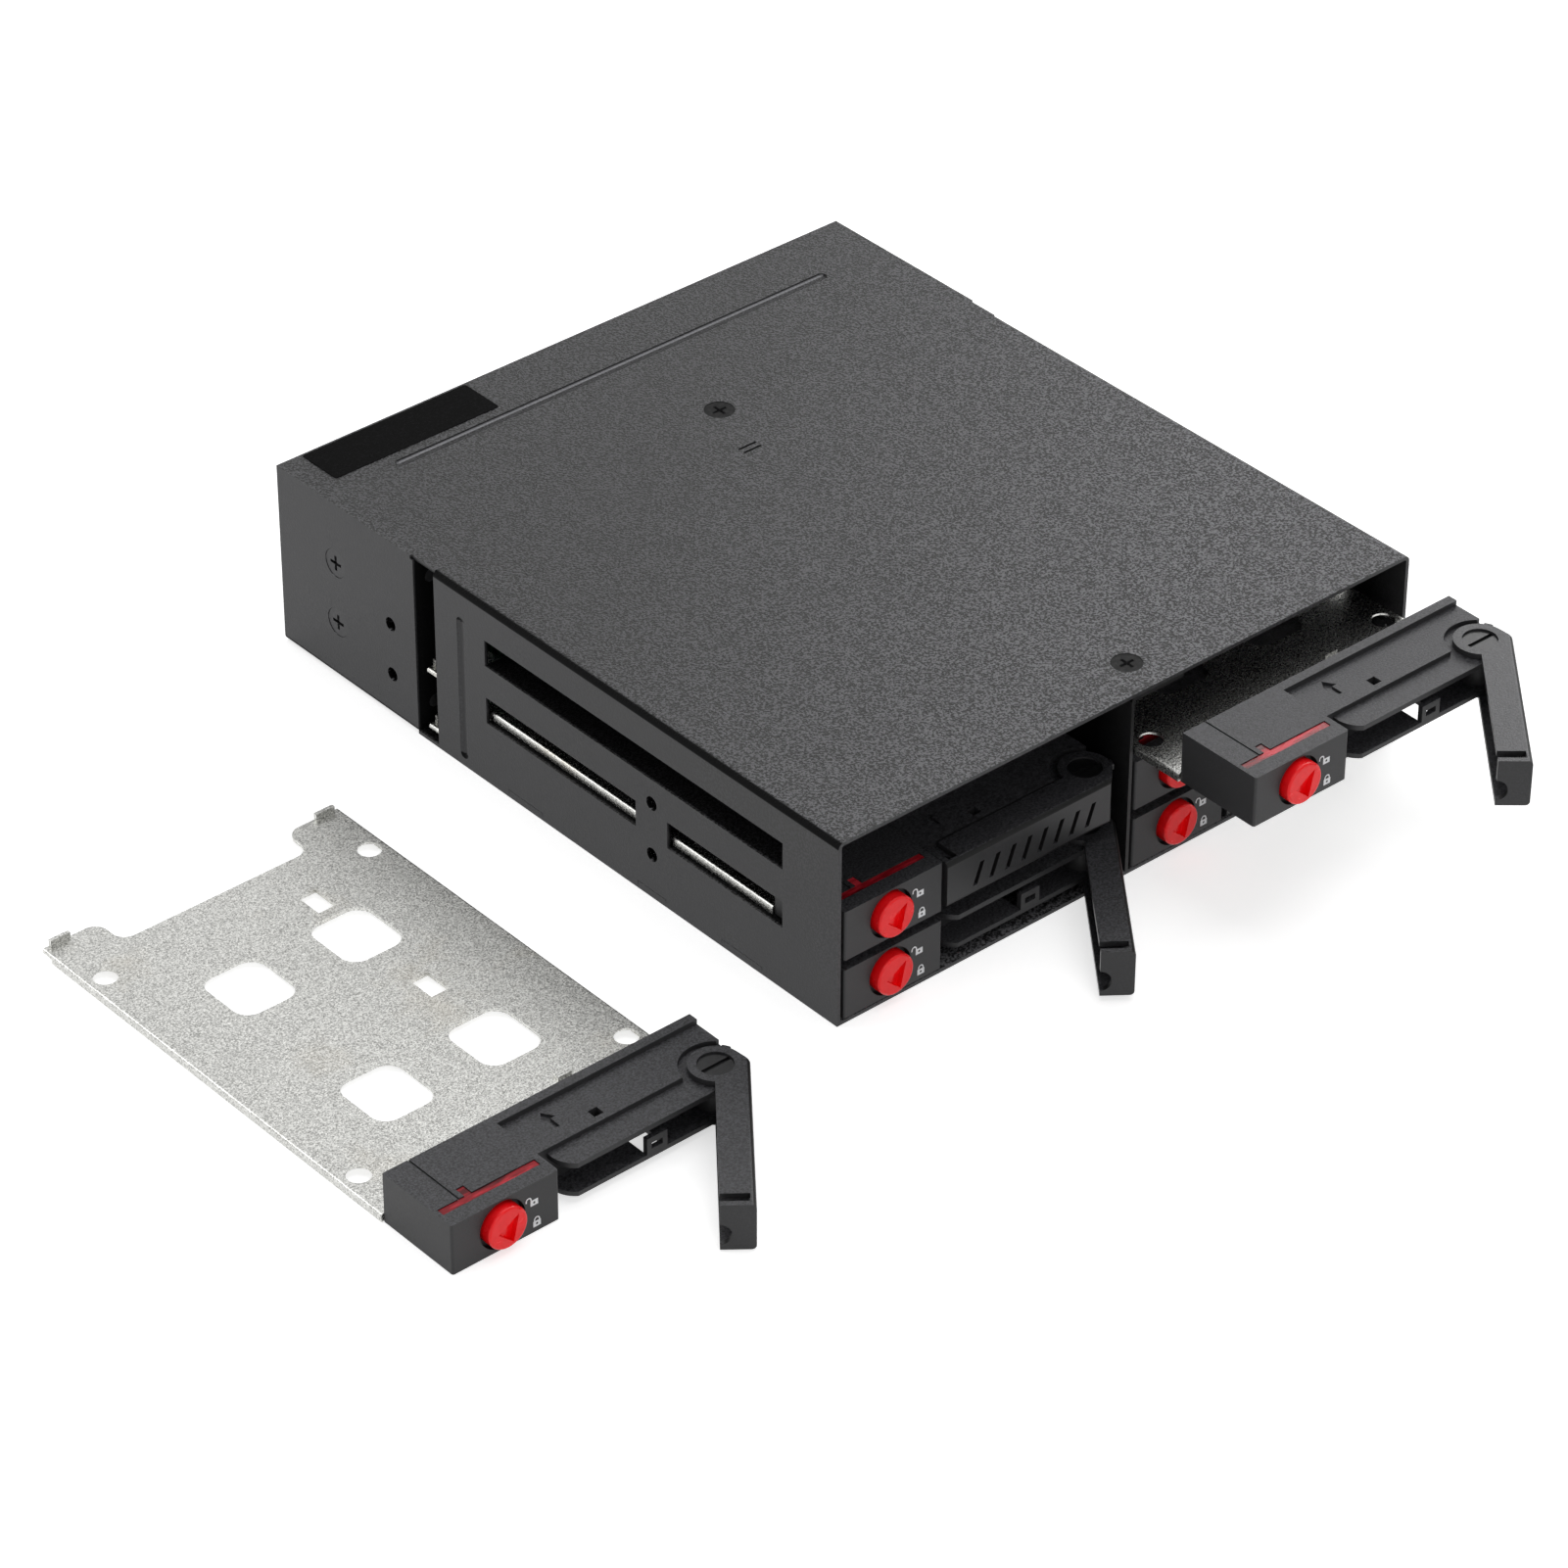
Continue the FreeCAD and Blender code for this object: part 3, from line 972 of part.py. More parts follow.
def rear_panel():
    inner_half = HALF_WIDTH - SHEET - FIT
    plate = box(-inner_half, inner_half, PANEL_FRONT_Y, CAGE_DEPTH, SHEET + FIT, ROOF_LOW - FIT)
    plate = round_edges(plate, BEND_RADIUS, lambda m, w: abs(w.y) > 0.9 and m.z < SHEET + 1)
    pieces, cuts = [plate], []
    for hand in (-1, 1):
        a, b = sorted((hand * inner_half, hand * (inner_half - SHEET)))
        low, high = SIDE_SCREW_Z[0] - SIDE_FLANGE_MARGIN, SIDE_SCREW_Z[1] + SIDE_FLANGE_MARGIN
        pieces.append(box(a, b, CAGE_DEPTH - PANEL_FLANGE, CAGE_DEPTH, low, high))
        for z in SIDE_SCREW_Z:
            cuts.append(side_screw_seat(-hand, z))
        for inner, outer in guard_rings():
            for quarter in range(4):
                start = quarter * 90 + 45
                gap = math.degrees(GUARD_WEB / 2 / outer)
                cell = tube_section(inner, outer, -1, SHEET + 1, start + gap, start + 90 - gap)
                cut = on_fan(cell, hand)
                cut.translate(V(0, PANEL_FRONT_Y, 0))
                cuts.append(cut)
        for sx in (-1, 1):
            for sz in (-1, 1):
                cuts.append(rod(hand * FAN_X + sx * FAN_HOLE_SPAN / 2, PANEL_FRONT_Y,
                                FAN_Z + sz * FAN_HOLE_SPAN / 2, SCREW_SHANK_R + FIT, SHEET,
                                V(0, 1, 0)))
    half_w, half_h = CABLE_OPENING_WIDTH / 2, CABLE_OPENING_HEIGHT / 2
    opening = box(-half_w, half_w, PANEL_FRONT_Y, CAGE_DEPTH, FAN_Z - half_h, FAN_Z + half_h)
    opening = round_edges(opening, OPENING_CORNER_R, lambda m, w: abs(w.y) > 0.9)
    cuts.append(opening)
    return join(pieces).cut(Part.makeCompound(cuts))


def guard_rings():
    """Inner and outer radii of the open rings of a finger guard."""
    outer = FAN_SIZE / 2 - FAN_WALL
    step = (outer - GUARD_HUB_R) / GUARD_RINGS
    return [(outer - (n + 1) * step + GUARD_WEB, outer - n * step) for n in range(GUARD_RINGS)]


def fan_frame(hand):
    half = FAN_SIZE / 2
    y0 = PANEL_FRONT_Y - FAN_DEPTH
    frame = box(-half, half, -half, half, 0, FAN_DEPTH)
    frame = round_edges(frame, FAN_CORNER_R, lambda m, w: abs(w.z) > 0.9)
    duct = rod(0, 0, 0, half - FAN_WALL, FAN_DEPTH)
    holes = [rod(sx * FAN_HOLE_SPAN / 2, sy * FAN_HOLE_SPAN / 2, 0, SCREW_SHANK_R + FIT, FAN_DEPTH)
             for sx in (-1, 1) for sy in (-1, 1)]
    body = frame.cut(Part.makeCompound([duct] + holes))
    hub = rod(0, 0, 0, FAN_HUB_R, FAN_BASE)
    struts = []
    for n in range(FAN_STRUTS):
        strut = box(-FAN_STRUT_WIDTH / 2, FAN_STRUT_WIDTH / 2, FAN_HUB_R - FAN_WALL / 2,
                    half - FAN_WALL / 2, 0, FAN_BASE)
        strut.rotate(V(0, 0, 0), V(0, 0, 1), 30 + n * 360 / FAN_STRUTS)
        struts.append(strut)
    post = rod(0, 0, 0, FAN_POST_R, FAN_POST_TOP)
    bearing = rod(0, 0, FAN_BASE - 1, FAN_SHAFT_R + FIT, FAN_POST_TOP + 1)
    body = join([body, hub, post] + struts).cut(bearing)
    placed = on_fan(body, hand)
    placed.translate(V(0, y0, 0))
    return placed


def fan_rotor(hand):
    """Hub cup with its shaft and swept blades."""
    y0 = PANEL_FRONT_Y - FAN_DEPTH
    low, high = FAN_ROTOR_LOW, FAN_DEPTH - FAN_ROTOR_SHORT
    cup_r = FAN_HUB_R - 2 * RUN_GAP
    cup = rod(0, 0, low, cup_r, high - low)
    cup = cup.cut(rod(0, 0, low, cup_r - FAN_CUP_WALL, high - low - FAN_CUP_WALL))
    shaft_low = FAN_BASE - 0.7
    shaft = rod(0, 0, shaft_low, FAN_SHAFT_R, high - shaft_low)
    pieces = [cup, shaft]
    tip = FAN_SIZE / 2 - FAN_WALL - FAN_TIP_GAP
    for n in range(FAN_BLADES):
        blade = fan_blade(cup_r - BLADE_THICK, tip, low + BLADE_THICK, high - BLADE_THICK)
        blade.rotate(V(0, 0, 0), V(0, 0, 1), n * 360.0 / FAN_BLADES)
        pieces.append(blade)
    body = join(pieces).common(rod(0, 0, 0, tip, FAN_DEPTH))
    placed = on_fan(body, hand)
    placed.translate(V(0, y0, 0))
    return placed


def fan_blade(root, tip, low, high):
    """Blade lofted between a root and a tip section, each a slanted thin strip."""
    wires = []
    for radius, (sweep, lean) in ((root, BLADE_ROOT), (tip, BLADE_TIP)):
        wide = BLADE_THICK * 2
        points = [V(radius, -lean - sweep, low), V(radius, -lean - sweep + wide, low),
                  V(radius, lean - sweep + wide, high), V(radius, lean - sweep, high)]
        wires.append(Part.makePolygon(points + [points[0]]))
    return Part.makeLoft(wires, True, True)


def fan_screws():
    """Screws that hold each fan frame to the rear panel."""
    screws = []
    for hand in (-1, 1):
        for sx in (-1, 1):
            for sz in (-1, 1):
                screw = pan_screw(FAN_SCREW_LENGTH)
                screw.translate(V(hand * FAN_X + sx * FAN_HOLE_SPAN / 2, CAGE_DEPTH,
                                  FAN_Z + sz * FAN_HOLE_SPAN / 2))
                screws.append(screw)
    return Part.makeCompound(screws)


def main():
    os.makedirs("parts", exist_ok=True)
    write("top_cover", top_cover())
    write("bottom_cover", bottom_cover())
    write("center_divider", center_divider())
    write("rear_panel", rear_panel())
    write("backplane_board", backplane_board())
    write("drive_sockets", drive_sockets())
    write("data_ports", data_ports())
    write("power_sockets", power_sockets())
    write("roof_screws", roof_screws())
    write("side_screws", side_screws())
    write("board_screws", board_screws())
    write("fan_screws", fan_screws())
    for side, hand in zip(SIDES, (-1, 1)):
        write("fan_frame_%s" % side, fan_frame(hand))
        write("fan_rotor_%s" % side, fan_rotor(hand))
    write_trays()


main()
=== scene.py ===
# Looks of the hot swap drive cage: materials, printed signs, the label, light and camera.
import math

import bmesh
import bpy
from mathutils import Matrix, Vector


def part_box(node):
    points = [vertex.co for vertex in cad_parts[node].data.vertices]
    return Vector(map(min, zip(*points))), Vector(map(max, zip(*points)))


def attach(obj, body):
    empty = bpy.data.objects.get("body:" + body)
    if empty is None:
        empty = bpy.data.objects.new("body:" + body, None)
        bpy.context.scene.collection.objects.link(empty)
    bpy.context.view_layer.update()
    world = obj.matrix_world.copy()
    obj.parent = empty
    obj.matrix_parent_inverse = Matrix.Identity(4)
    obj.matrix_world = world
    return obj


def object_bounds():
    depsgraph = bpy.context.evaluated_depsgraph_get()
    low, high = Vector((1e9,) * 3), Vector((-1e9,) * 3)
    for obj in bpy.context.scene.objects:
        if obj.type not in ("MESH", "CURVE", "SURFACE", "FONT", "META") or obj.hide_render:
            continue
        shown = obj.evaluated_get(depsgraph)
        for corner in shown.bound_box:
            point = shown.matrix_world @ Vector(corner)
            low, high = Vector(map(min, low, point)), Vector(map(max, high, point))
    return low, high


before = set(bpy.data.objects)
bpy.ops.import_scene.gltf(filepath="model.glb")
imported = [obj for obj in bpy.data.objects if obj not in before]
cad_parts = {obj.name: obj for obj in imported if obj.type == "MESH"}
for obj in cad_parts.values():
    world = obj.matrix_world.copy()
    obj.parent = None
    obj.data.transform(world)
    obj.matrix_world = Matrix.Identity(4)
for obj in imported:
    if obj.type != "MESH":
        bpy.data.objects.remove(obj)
cad_low, cad_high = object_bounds()

MM = 0.001
ROWS = ("bottom", "middle", "top")
SIDES = ("left", "right")

# ---- camera: direction, distance and framing in the frame of the part ---------------------
CAMERA_AZIMUTH = -40.939
CAMERA_ELEVATION = 35.347
CAMERA_ROLL = 0.171
CAMERA_DISTANCE = 1227.98 * MM
CAMERA_AIM = Vector((0, 1.3, 20.0)) * MM
CAMERA_OFFSET_RIGHT = -9.43 * MM
CAMERA_OFFSET_UP = -36.52 * MM
CAMERA_LENS = 143.57


def make_camera():
    az, el, roll = (math.radians(a) for a in (CAMERA_AZIMUTH, CAMERA_ELEVATION, CAMERA_ROLL))
    back = Vector((math.sin(az) * math.cos(el), -math.cos(az) * math.cos(el), math.sin(el)))
    level = Vector((math.cos(az), math.sin(az), 0))
    rise = back.cross(level)
    right = level * math.cos(roll) + rise * math.sin(roll)
    up = rise * math.cos(roll) - level * math.sin(roll)
    data = bpy.data.cameras.new("camera")
    data.lens = CAMERA_LENS
    data.sensor_width = 36.0
    data.clip_start = 0.05
    data.clip_end = 20.0
    camera = bpy.data.objects.new("camera", data)
    bpy.context.scene.collection.objects.link(camera)
    place = CAMERA_AIM + back * CAMERA_DISTANCE
    place += right * CAMERA_OFFSET_RIGHT + up * CAMERA_OFFSET_UP
    turn = Matrix((right, up, back)).transposed().to_4x4()
    camera.matrix_world = Matrix.Translation(place) @ turn
    bpy.context.scene.camera = camera


# ---- what the cage's walls enclose gets painted shade -------------------------------------
COVER_LOW, COVER_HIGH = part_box("top_cover")
WALL_SKIN = 0.6 * MM
WALL_FADE = WALL_SKIN / 3
RIM_FADE = 9.0 * MM


# ---- node graphs --------------------------------------------------------------------------
# how level a face is counts from 0 for an upright one to 1 for a level one
LEVEL_RANGE = (0.5, 0.9)
BORDER_FRAY = 0.12
BEND_MIDDLE = 0.52
BEND_RANGE = (0.38, 0.46)


class Graph:
    """A material's node graph around one Principled shader."""

    def __init__(self, name):
        self.material = bpy.data.materials.new("finish_" + name)
        self.material.use_nodes = True
        self.tree = self.material.node_tree
        self.shader = self.tree.nodes["Principled BSDF"]
        self.coordinate_node = self.tree.nodes.new("ShaderNodeTexCoord")
        self.coordinates = self.coordinate_node.outputs["Object"]

    def add(self, kind, **values):
        """New node; values go to its inputs by name, and sockets are linked."""
        node = self.tree.nodes.new("ShaderNode" + kind)
        self.fill(node, values)
        return node

    def fill(self, node, values):
        for key, value in values.items():
            self.put(node.inputs[key.replace("_", " ")], value)

    def put(self, socket, value):
        if isinstance(value, bpy.types.NodeSocket):
            self.tree.links.new(value, socket)
        else:
            socket.default_value = value

    def surface(self, **values):
        self.fill(self.shader, values)

    def noise(self, scale, detail=2.0, roughness=0.5, stretch=(1, 1, 1), distortion=0.0):
        """Noise value over the object; scale is in features per metre."""
        mapping = self.add("Mapping", Vector=self.coordinates, Scale=stretch)
        node = self.add("TexNoise", Vector=mapping.outputs["Vector"], Scale=scale,
                        Detail=detail, Roughness=roughness, Distortion=distortion)
        return node.outputs["Fac"]

    def ramp(self, fac, stops):
        """Colour ramp from (position, grey or colour) pairs."""
        node = self.add("ValToRGB", Fac=fac)
        elements = node.color_ramp.elements
        while len(elements) < len(stops):
            elements.new(0.5)
        for element, (position, colour) in zip(elements, stops):
            element.position = position
            if not isinstance(colour, tuple):
                colour = (colour, colour, colour)
            element.color = colour + (1.0,)
        return node.outputs["Color"]

    def spread(self, value, low, high, from_low=0.3, from_high=0.7):
        """Maps a value from one range to another and clamps it; the first fits a noise."""
        node = self.add("MapRange", Value=value)
        for index, number in enumerate((from_low, from_high, low, high)):
            node.inputs[index + 1].default_value = number
        return node.outputs["Result"]

    def math(self, operation, a, b=0.0):
        node = self.add("Math")
        node.operation = operation
        self.put(node.inputs[0], a)
        self.put(node.inputs[1], b)
        return node.outputs[0]

    def place(self, axis):
        """One coordinate of the surface in the object's frame, in metres."""
        return self.add("SeparateXYZ", Vector=self.coordinates).outputs[axis]

    def facing(self, axis):
        """One component of the surface normal in the object's frame."""
        parts = self.add("SeparateXYZ", Vector=self.coordinate_node.outputs["Normal"])
        return parts.outputs[axis]

    def levelness(self):
        """1 where the surface looks straight up or down, 0 where it looks sideways."""
        return self.math("ABSOLUTE", self.facing("Z"))

    def level_faces(self, border=None):
        """1 on level faces, 0 on upright ones; border is a noise that frays the change."""
        level = self.levelness()
        if border is not None:
            level = self.math("ADD", level, self.spread(border, -BORDER_FRAY, BORDER_FRAY))
        return self.spread(level, 0.0, 1.0, *LEVEL_RANGE)

    def bends(self):
        """1 in a bend between a level and an upright face, 0 on both faces."""
        away = self.math("ABSOLUTE", self.math("SUBTRACT", self.levelness(), BEND_MIDDLE))
        return self.spread(away, 1.0, 0.0, *BEND_RANGE)

    def within(self):
        """1 on what lies inside the cage's walls, 0 on the outside and its front rim."""
        half, roof, front = COVER_HIGH.x, cad_high.z, COVER_LOW.y
        inner = self.spread(self.math("ABSOLUTE", self.place("X")), 1.0, 0.0,
                            half - WALL_SKIN, half - WALL_FADE)
        for mask in (self.spread(self.place("Z"), 1.0, 0.0, roof - WALL_SKIN, roof - WALL_FADE),
                     self.spread(self.place("Z"), 0.0, 1.0, WALL_FADE, WALL_SKIN),
                     self.spread(self.place("Y"), 0.0, 1.0, front, front + RIM_FADE)):
            inner = self.math("MULTIPLY", inner, mask)
        return inner

    def mix(self, fac, a, b):
        node = self.tree.nodes.new("ShaderNodeMix")
        node.data_type = "RGBA"
        for socket, value in ((node.inputs[0], fac), (node.inputs[6], a), (node.inputs[7], b)):
            self.put(socket, value)
        return node.outputs[2]

    def bump(self, height, strength, distance, normal=None):
        node = self.add("Bump", Height=height, Strength=strength, Distance=distance)
        if normal is not None:
            self.put(node.inputs["Normal"], normal)
        return node.outputs["Normal"]


def rgb(r, g, b):
    """Colour with its alpha, from linear values."""
    return (r, g, b, 1.0)


# ---- materials of the record's slots ------------------------------------------------------
INNER_SHADE_TONE = 0.001
BEND_SHADE_SHARE = 0.12
BEAD_HIGHLIGHT_SHARE = 1.8
BEAD_SLOPE = (-0.22, -0.08)
INNER_SHADE = 0.85
UPRIGHT_SHARE = 0.26
EDGE_SHADE_SHARE = 0.6
SHADE_FALLOFF_Y = 1.3
SHADE_FALLOFF_DEPTH = 0.60
SHADE_FALLOFF_RANGE = (-0.06, 0.11)


def grey(value, tint=1.0):
    """Linear grey with its blue multiplied by tint."""
    return (value, value, value * tint)


def powder_coat(name, dark, light, share, tint=1.06):
    """Powder coat: level faces are grained, painted lighter as top light and sheen, and darker to
    the rear left as painted shade; upright ones are smoother with a share of that tone, bends get
    painted shade, and bead flanks that face the front get a painted highlight."""
    g = Graph(name)
    grain = g.noise(2050.0, 2.0, 0.6)
    broad = g.noise(45.0, 3.0, 0.6)
    speck = g.noise(3600.0, 2.0, 0.55)
    level, bend, within = g.level_faces(), g.bends(), g.within()
    # level faces get a lighter, grained tone than upright ones: real grain, partly painted top
    # light and sheen
    grain_and_top_light = g.ramp(grain, [(0.45, grey(dark, tint)), (0.58, grey(light, tint))])
    # painted shade: level faces darken towards the rear left, a painted falloff of the light
    shade_falloff = g.math("SUBTRACT", g.place("X"), g.math("MULTIPLY", g.place("Y"), SHADE_FALLOFF_Y))
    grain_and_top_light = g.mix(g.spread(shade_falloff, SHADE_FALLOFF_DEPTH, 0.0, *SHADE_FALLOFF_RANGE), grain_and_top_light, rgb(*grey(dark)))
    middle = (dark + light) * share
    flat = g.mix(g.spread(broad, 0.0, 0.3), rgb(*grey(middle, tint)), grain_and_top_light)
    coat = g.mix(level, flat, grain_and_top_light)
    # painted highlight: level faces that tilt towards the front, such as the front flank of the
    # roof bead, are painted lighter
    bead_highlight = g.math("MULTIPLY", level, g.spread(g.facing("Y"), 1.0, 0.0, *BEAD_SLOPE))
    coat = g.mix(bead_highlight, coat, rgb(*grey(light * BEAD_HIGHLIGHT_SHARE, tint)))
    # painted shade: bends between level and upright faces are painted dark
    coat = g.mix(bend, coat, rgb(*grey(middle * BEND_SHADE_SHARE, tint)))
    # painted shade: what lies inside the cage's walls is darkened towards near black, and bends
    # and this shaded inside get less specular
    coat = g.mix(g.math("MULTIPLY", within, INNER_SHADE), coat, rgb(*grey(INNER_SHADE_TONE)))
    dull = g.math("MAXIMUM", bend, within)
    coarse = g.bump(grain, g.spread(level, 0.10, 1.0, 0, 1), 0.00040)
    g.surface(Base_Color=coat, Roughness=g.spread(grain, 0.38, 0.56),
              Specular_IOR_Level=g.spread(dull, 0.3, 0.04, 0, 1),
              Normal=g.bump(speck, g.spread(level, 0.06, 0.5, 0, 1), 0.00008, coarse))
    return g.material


def black_steel():
    return powder_coat("black_steel", 0.002, 0.17, 0.19)


def divider_steel():
    # the same powder coat as black_steel with a far darker light tone, as painted shade of the
    # cage's inside where the divider sits
    return powder_coat("divider_steel", 0.002, 0.016, 0.42)


def tray_steel():
    """Zinc coated sheet: spangle, fine grain, faint stains."""
    g = Graph("tray_steel")
    grain = g.noise(2600.0, 3.0, 0.7)
    spangle = g.noise(520.0, 2.0, 0.5, distortion=0.6)
    stain = g.noise(38.0, 4.0, 0.65)
    metal = g.ramp(grain, [(0.36, (0.24, 0.24, 0.23)), (0.64, (0.78, 0.78, 0.75))])
    mottled = g.mix(g.spread(spangle, 0.0, 0.3), metal, rgb(0.64, 0.64, 0.62))
    aged = g.mix(g.spread(stain, 0.0, 0.3, 0.56, 0.74), mottled, rgb(0.46, 0.40, 0.30))
    g.surface(Base_Color=aged, Metallic=1.0, Roughness=g.spread(grain, 0.20, 0.36),
              Normal=g.bump(grain, 0.6, 0.00008))
    return g.material


def moulded(name, dark, light, scale=2300.0, rough=(0.42, 0.56), strength=0.8):
    """Moulded plastic: spark-eroded grain on level faces, painted lighter as top light, nearly
    smooth upright ones, and painted shade in bends.
    """
    g = Graph(name)
    grain = g.noise(scale, 3.0, 0.65)
    flow = g.noise(90.0, 2.0, 0.5)
    level = g.level_faces(grain)
    # level faces get a lighter, grained tone than upright ones: real grain, partly painted top
    # light
    grain_and_top_light = g.ramp(grain, [(0.36, grey(dark, 1.1)), (0.68, grey(light, 1.1))])
    middle = (dark + light) * UPRIGHT_SHARE
    flat = g.mix(g.spread(flow, 0.0, 0.25), rgb(*grey(middle, 1.05)), grain_and_top_light)
    # painted shade: bends and rounded edges are painted dark
    skin = g.mix(g.bends(), g.mix(level, flat, grain_and_top_light), rgb(*grey(middle * EDGE_SHADE_SHARE)))
    g.surface(Base_Color=skin, Roughness=g.spread(grain, *rough),
              Normal=g.bump(grain, g.spread(level, 0.1, strength, 0, 1), 0.0001),
              Specular_IOR_Level=g.spread(g.bends(), 0.35, 0.12, 0, 1))
    return g.material


def bezel_plastic():
    return moulded("bezel_plastic", 0.005, 0.070)


def lever_plastic():
    return moulded("lever_plastic", 0.008, 0.062, rough=(0.34, 0.46), strength=0.6)


def pin_plastic():
    return moulded("pin_plastic", 0.003, 0.010, rough=(0.3, 0.42), strength=0.2)


def fan_plastic():
    return moulded("fan_plastic", 0.012, 0.022, rough=(0.35, 0.48), strength=0.15)


def connector_plastic():
    return moulded("connector_plastic", 0.010, 0.020, rough=(0.38, 0.5), strength=0.15)


def power_plastic():
    """Natural nylon, slightly uneven."""
    g = Graph("power_plastic")
    cloud = g.noise(160.0, 3.0, 0.5)
    tone = g.ramp(cloud, [(0.3, (0.66, 0.62, 0.52)), (0.7, (0.78, 0.75, 0.66))])
    g.surface(Base_Color=tone, Roughness=g.spread(cloud, 0.34, 0.46), Subsurface_Weight=0.1,
              Subsurface_Radius=(0.002, 0.0015, 0.001), Normal=g.bump(cloud, 0.1, 0.00005))
    return g.material


def red_plastic():
    """Glossy saturated red with a faint moulded ripple."""
    g = Graph("red_plastic")
    ripple = g.noise(420.0, 2.0, 0.5)
    tone = g.ramp(ripple, [(0.3, (0.90, 0.003, 0.006)), (0.7, (0.99, 0.008, 0.012))])
    g.surface(Base_Color=tone, Roughness=g.spread(ripple, 0.20, 0.28), Specular_IOR_Level=0.3,
              Normal=g.bump(ripple, 0.08, 0.0001))
    return g.material


def light_pipe():
    """Clear red acrylic that darkens in its depth; its bright red streaks are painted highlights.
    """
    g = Graph("light_pipe")
    flow = g.noise(420.0, 3.0, 0.6, stretch=(0.22, 1, 1))
    # painted highlight: the brightest red stop makes the streaks of light along the pipe
    tone = g.ramp(flow, [(0.38, (0.10, 0.003, 0.006)), (0.50, (0.34, 0.010, 0.018)),
                         (0.64, (0.72, 0.040, 0.060))])
    g.surface(Base_Color=tone, Roughness=g.spread(flow, 0.16, 0.28), Transmission_Weight=0.1,
              IOR=1.49, Specular_IOR_Level=0.2, Normal=g.bump(flow, 0.12, 0.0002))
    return g.material


def board():
    """Solder mask over copper traces."""
    g = Graph("board")
    traces = g.add("TexWave", Vector=g.coordinates, Scale=160.0, Distortion=6.0, Detail=2.0)
    cloud = g.noise(500.0, 2.0, 0.5)
    tone = g.ramp(traces.outputs["Fac"], [(0.45, (0.006, 0.030, 0.014)),
                                          (0.6, (0.016, 0.075, 0.034))])
    g.surface(Base_Color=tone, Roughness=g.spread(cloud, 0.26, 0.4), Coat_Weight=0.4,
              Normal=g.bump(traces.outputs["Fac"], 0.15, 0.00005))
    return g.material


def screw_steel():
    """Black oxide with rubbed spots; heads that look up are black, partly oxide and partly
    painted shade of their dimples, the others painted over.
    """
    g = Graph("screw_steel")
    rub = g.noise(900.0, 3.0, 0.6)
    level = g.level_faces()
    oxide = g.ramp(rub, [(0.45, (0.002, 0.002, 0.002)), (0.8, (0.030, 0.030, 0.030))])
    paint = g.ramp(rub, [(0.4, (0.030, 0.030, 0.032)), (0.75, (0.060, 0.060, 0.062))])
    # painted shade: heads that look up get the black tone of the dimples they sit in
    g.surface(Base_Color=g.mix(level, paint, oxide), Metallic=0.2,
              Roughness=g.spread(rub, 0.36, 0.52), Normal=g.bump(rub, 0.15, 0.00004),
              Specular_IOR_Level=g.spread(level, 0.3, 0.08, 0, 1))
    return g.material


FINISHES = {
    "black_steel": black_steel, "divider_steel": divider_steel, "tray_steel": tray_steel,
    "bezel_plastic": bezel_plastic, "lever_plastic": lever_plastic, "red_plastic": red_plastic,
    "light_pipe": light_pipe, "pin_plastic": pin_plastic, "board": board,
    "connector_plastic": connector_plastic, "power_plastic": power_plastic,
    "screw_steel": screw_steel, "fan_plastic": fan_plastic,
}


def dress_nodes():
    """Gives every CAD node the finish of its material slot."""
    made = {}
    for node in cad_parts.values():
        for slot in node.material_slots:
            name = slot.material.name
            if name not in made:
                made[name] = FINISHES[name]()
            slot.material = made[name]


# ---- printed padlock signs ----------------------------------------------------------------
ICON_OPEN = (18.4, 7.05)
ICON_CLOSED = (18.9, 2.1)
INK_THICK = 0.03
INK_GAP = 0.01
BODY_HALF_WIDTH = 0.85
BODY_HALF_HEIGHT = 0.625
BODY_LOW = -1.0
KEYHOLE_R = 0.26
SHACKLE_INNER_R = 0.42
SHACKLE_OUTER_R = 0.68
SHACKLE_LEG = 0.25
OPEN_SHIFT = -1.25
FREE_LEG_EXTRA = 0.05


def add_prism(bm, points, thick):
    """Flat outline in the XZ plane, thickened towards -Y."""
    front = [bm.verts.new((x, -thick, z)) for x, z in points]
    rear = [bm.verts.new((x, 0, z)) for x, z in points]
    count = len(points)
    bm.faces.new(front)
    bm.faces.new(list(reversed(rear)))
    for n in range(count):
        m = (n + 1) % count
        bm.faces.new((front[m], front[n], rear[n], rear[m]))


def add_band(bm, inner, outer, thick):
    """Strip between two open lines of the same count, as separate short prisms."""
    for n in range(len(inner) - 1):
        add_prism(bm, [inner[n], outer[n], outer[n + 1], inner[n + 1]], thick)


def arc(cx, cz, radius, start, stop, steps):
    """Points of an arc between two angles in degrees."""
    angles = [math.radians(start + (stop - start) * n / steps) for n in range(steps + 1)]
    return [(cx + radius * math.cos(a), cz + radius * math.sin(a)) for a in angles]


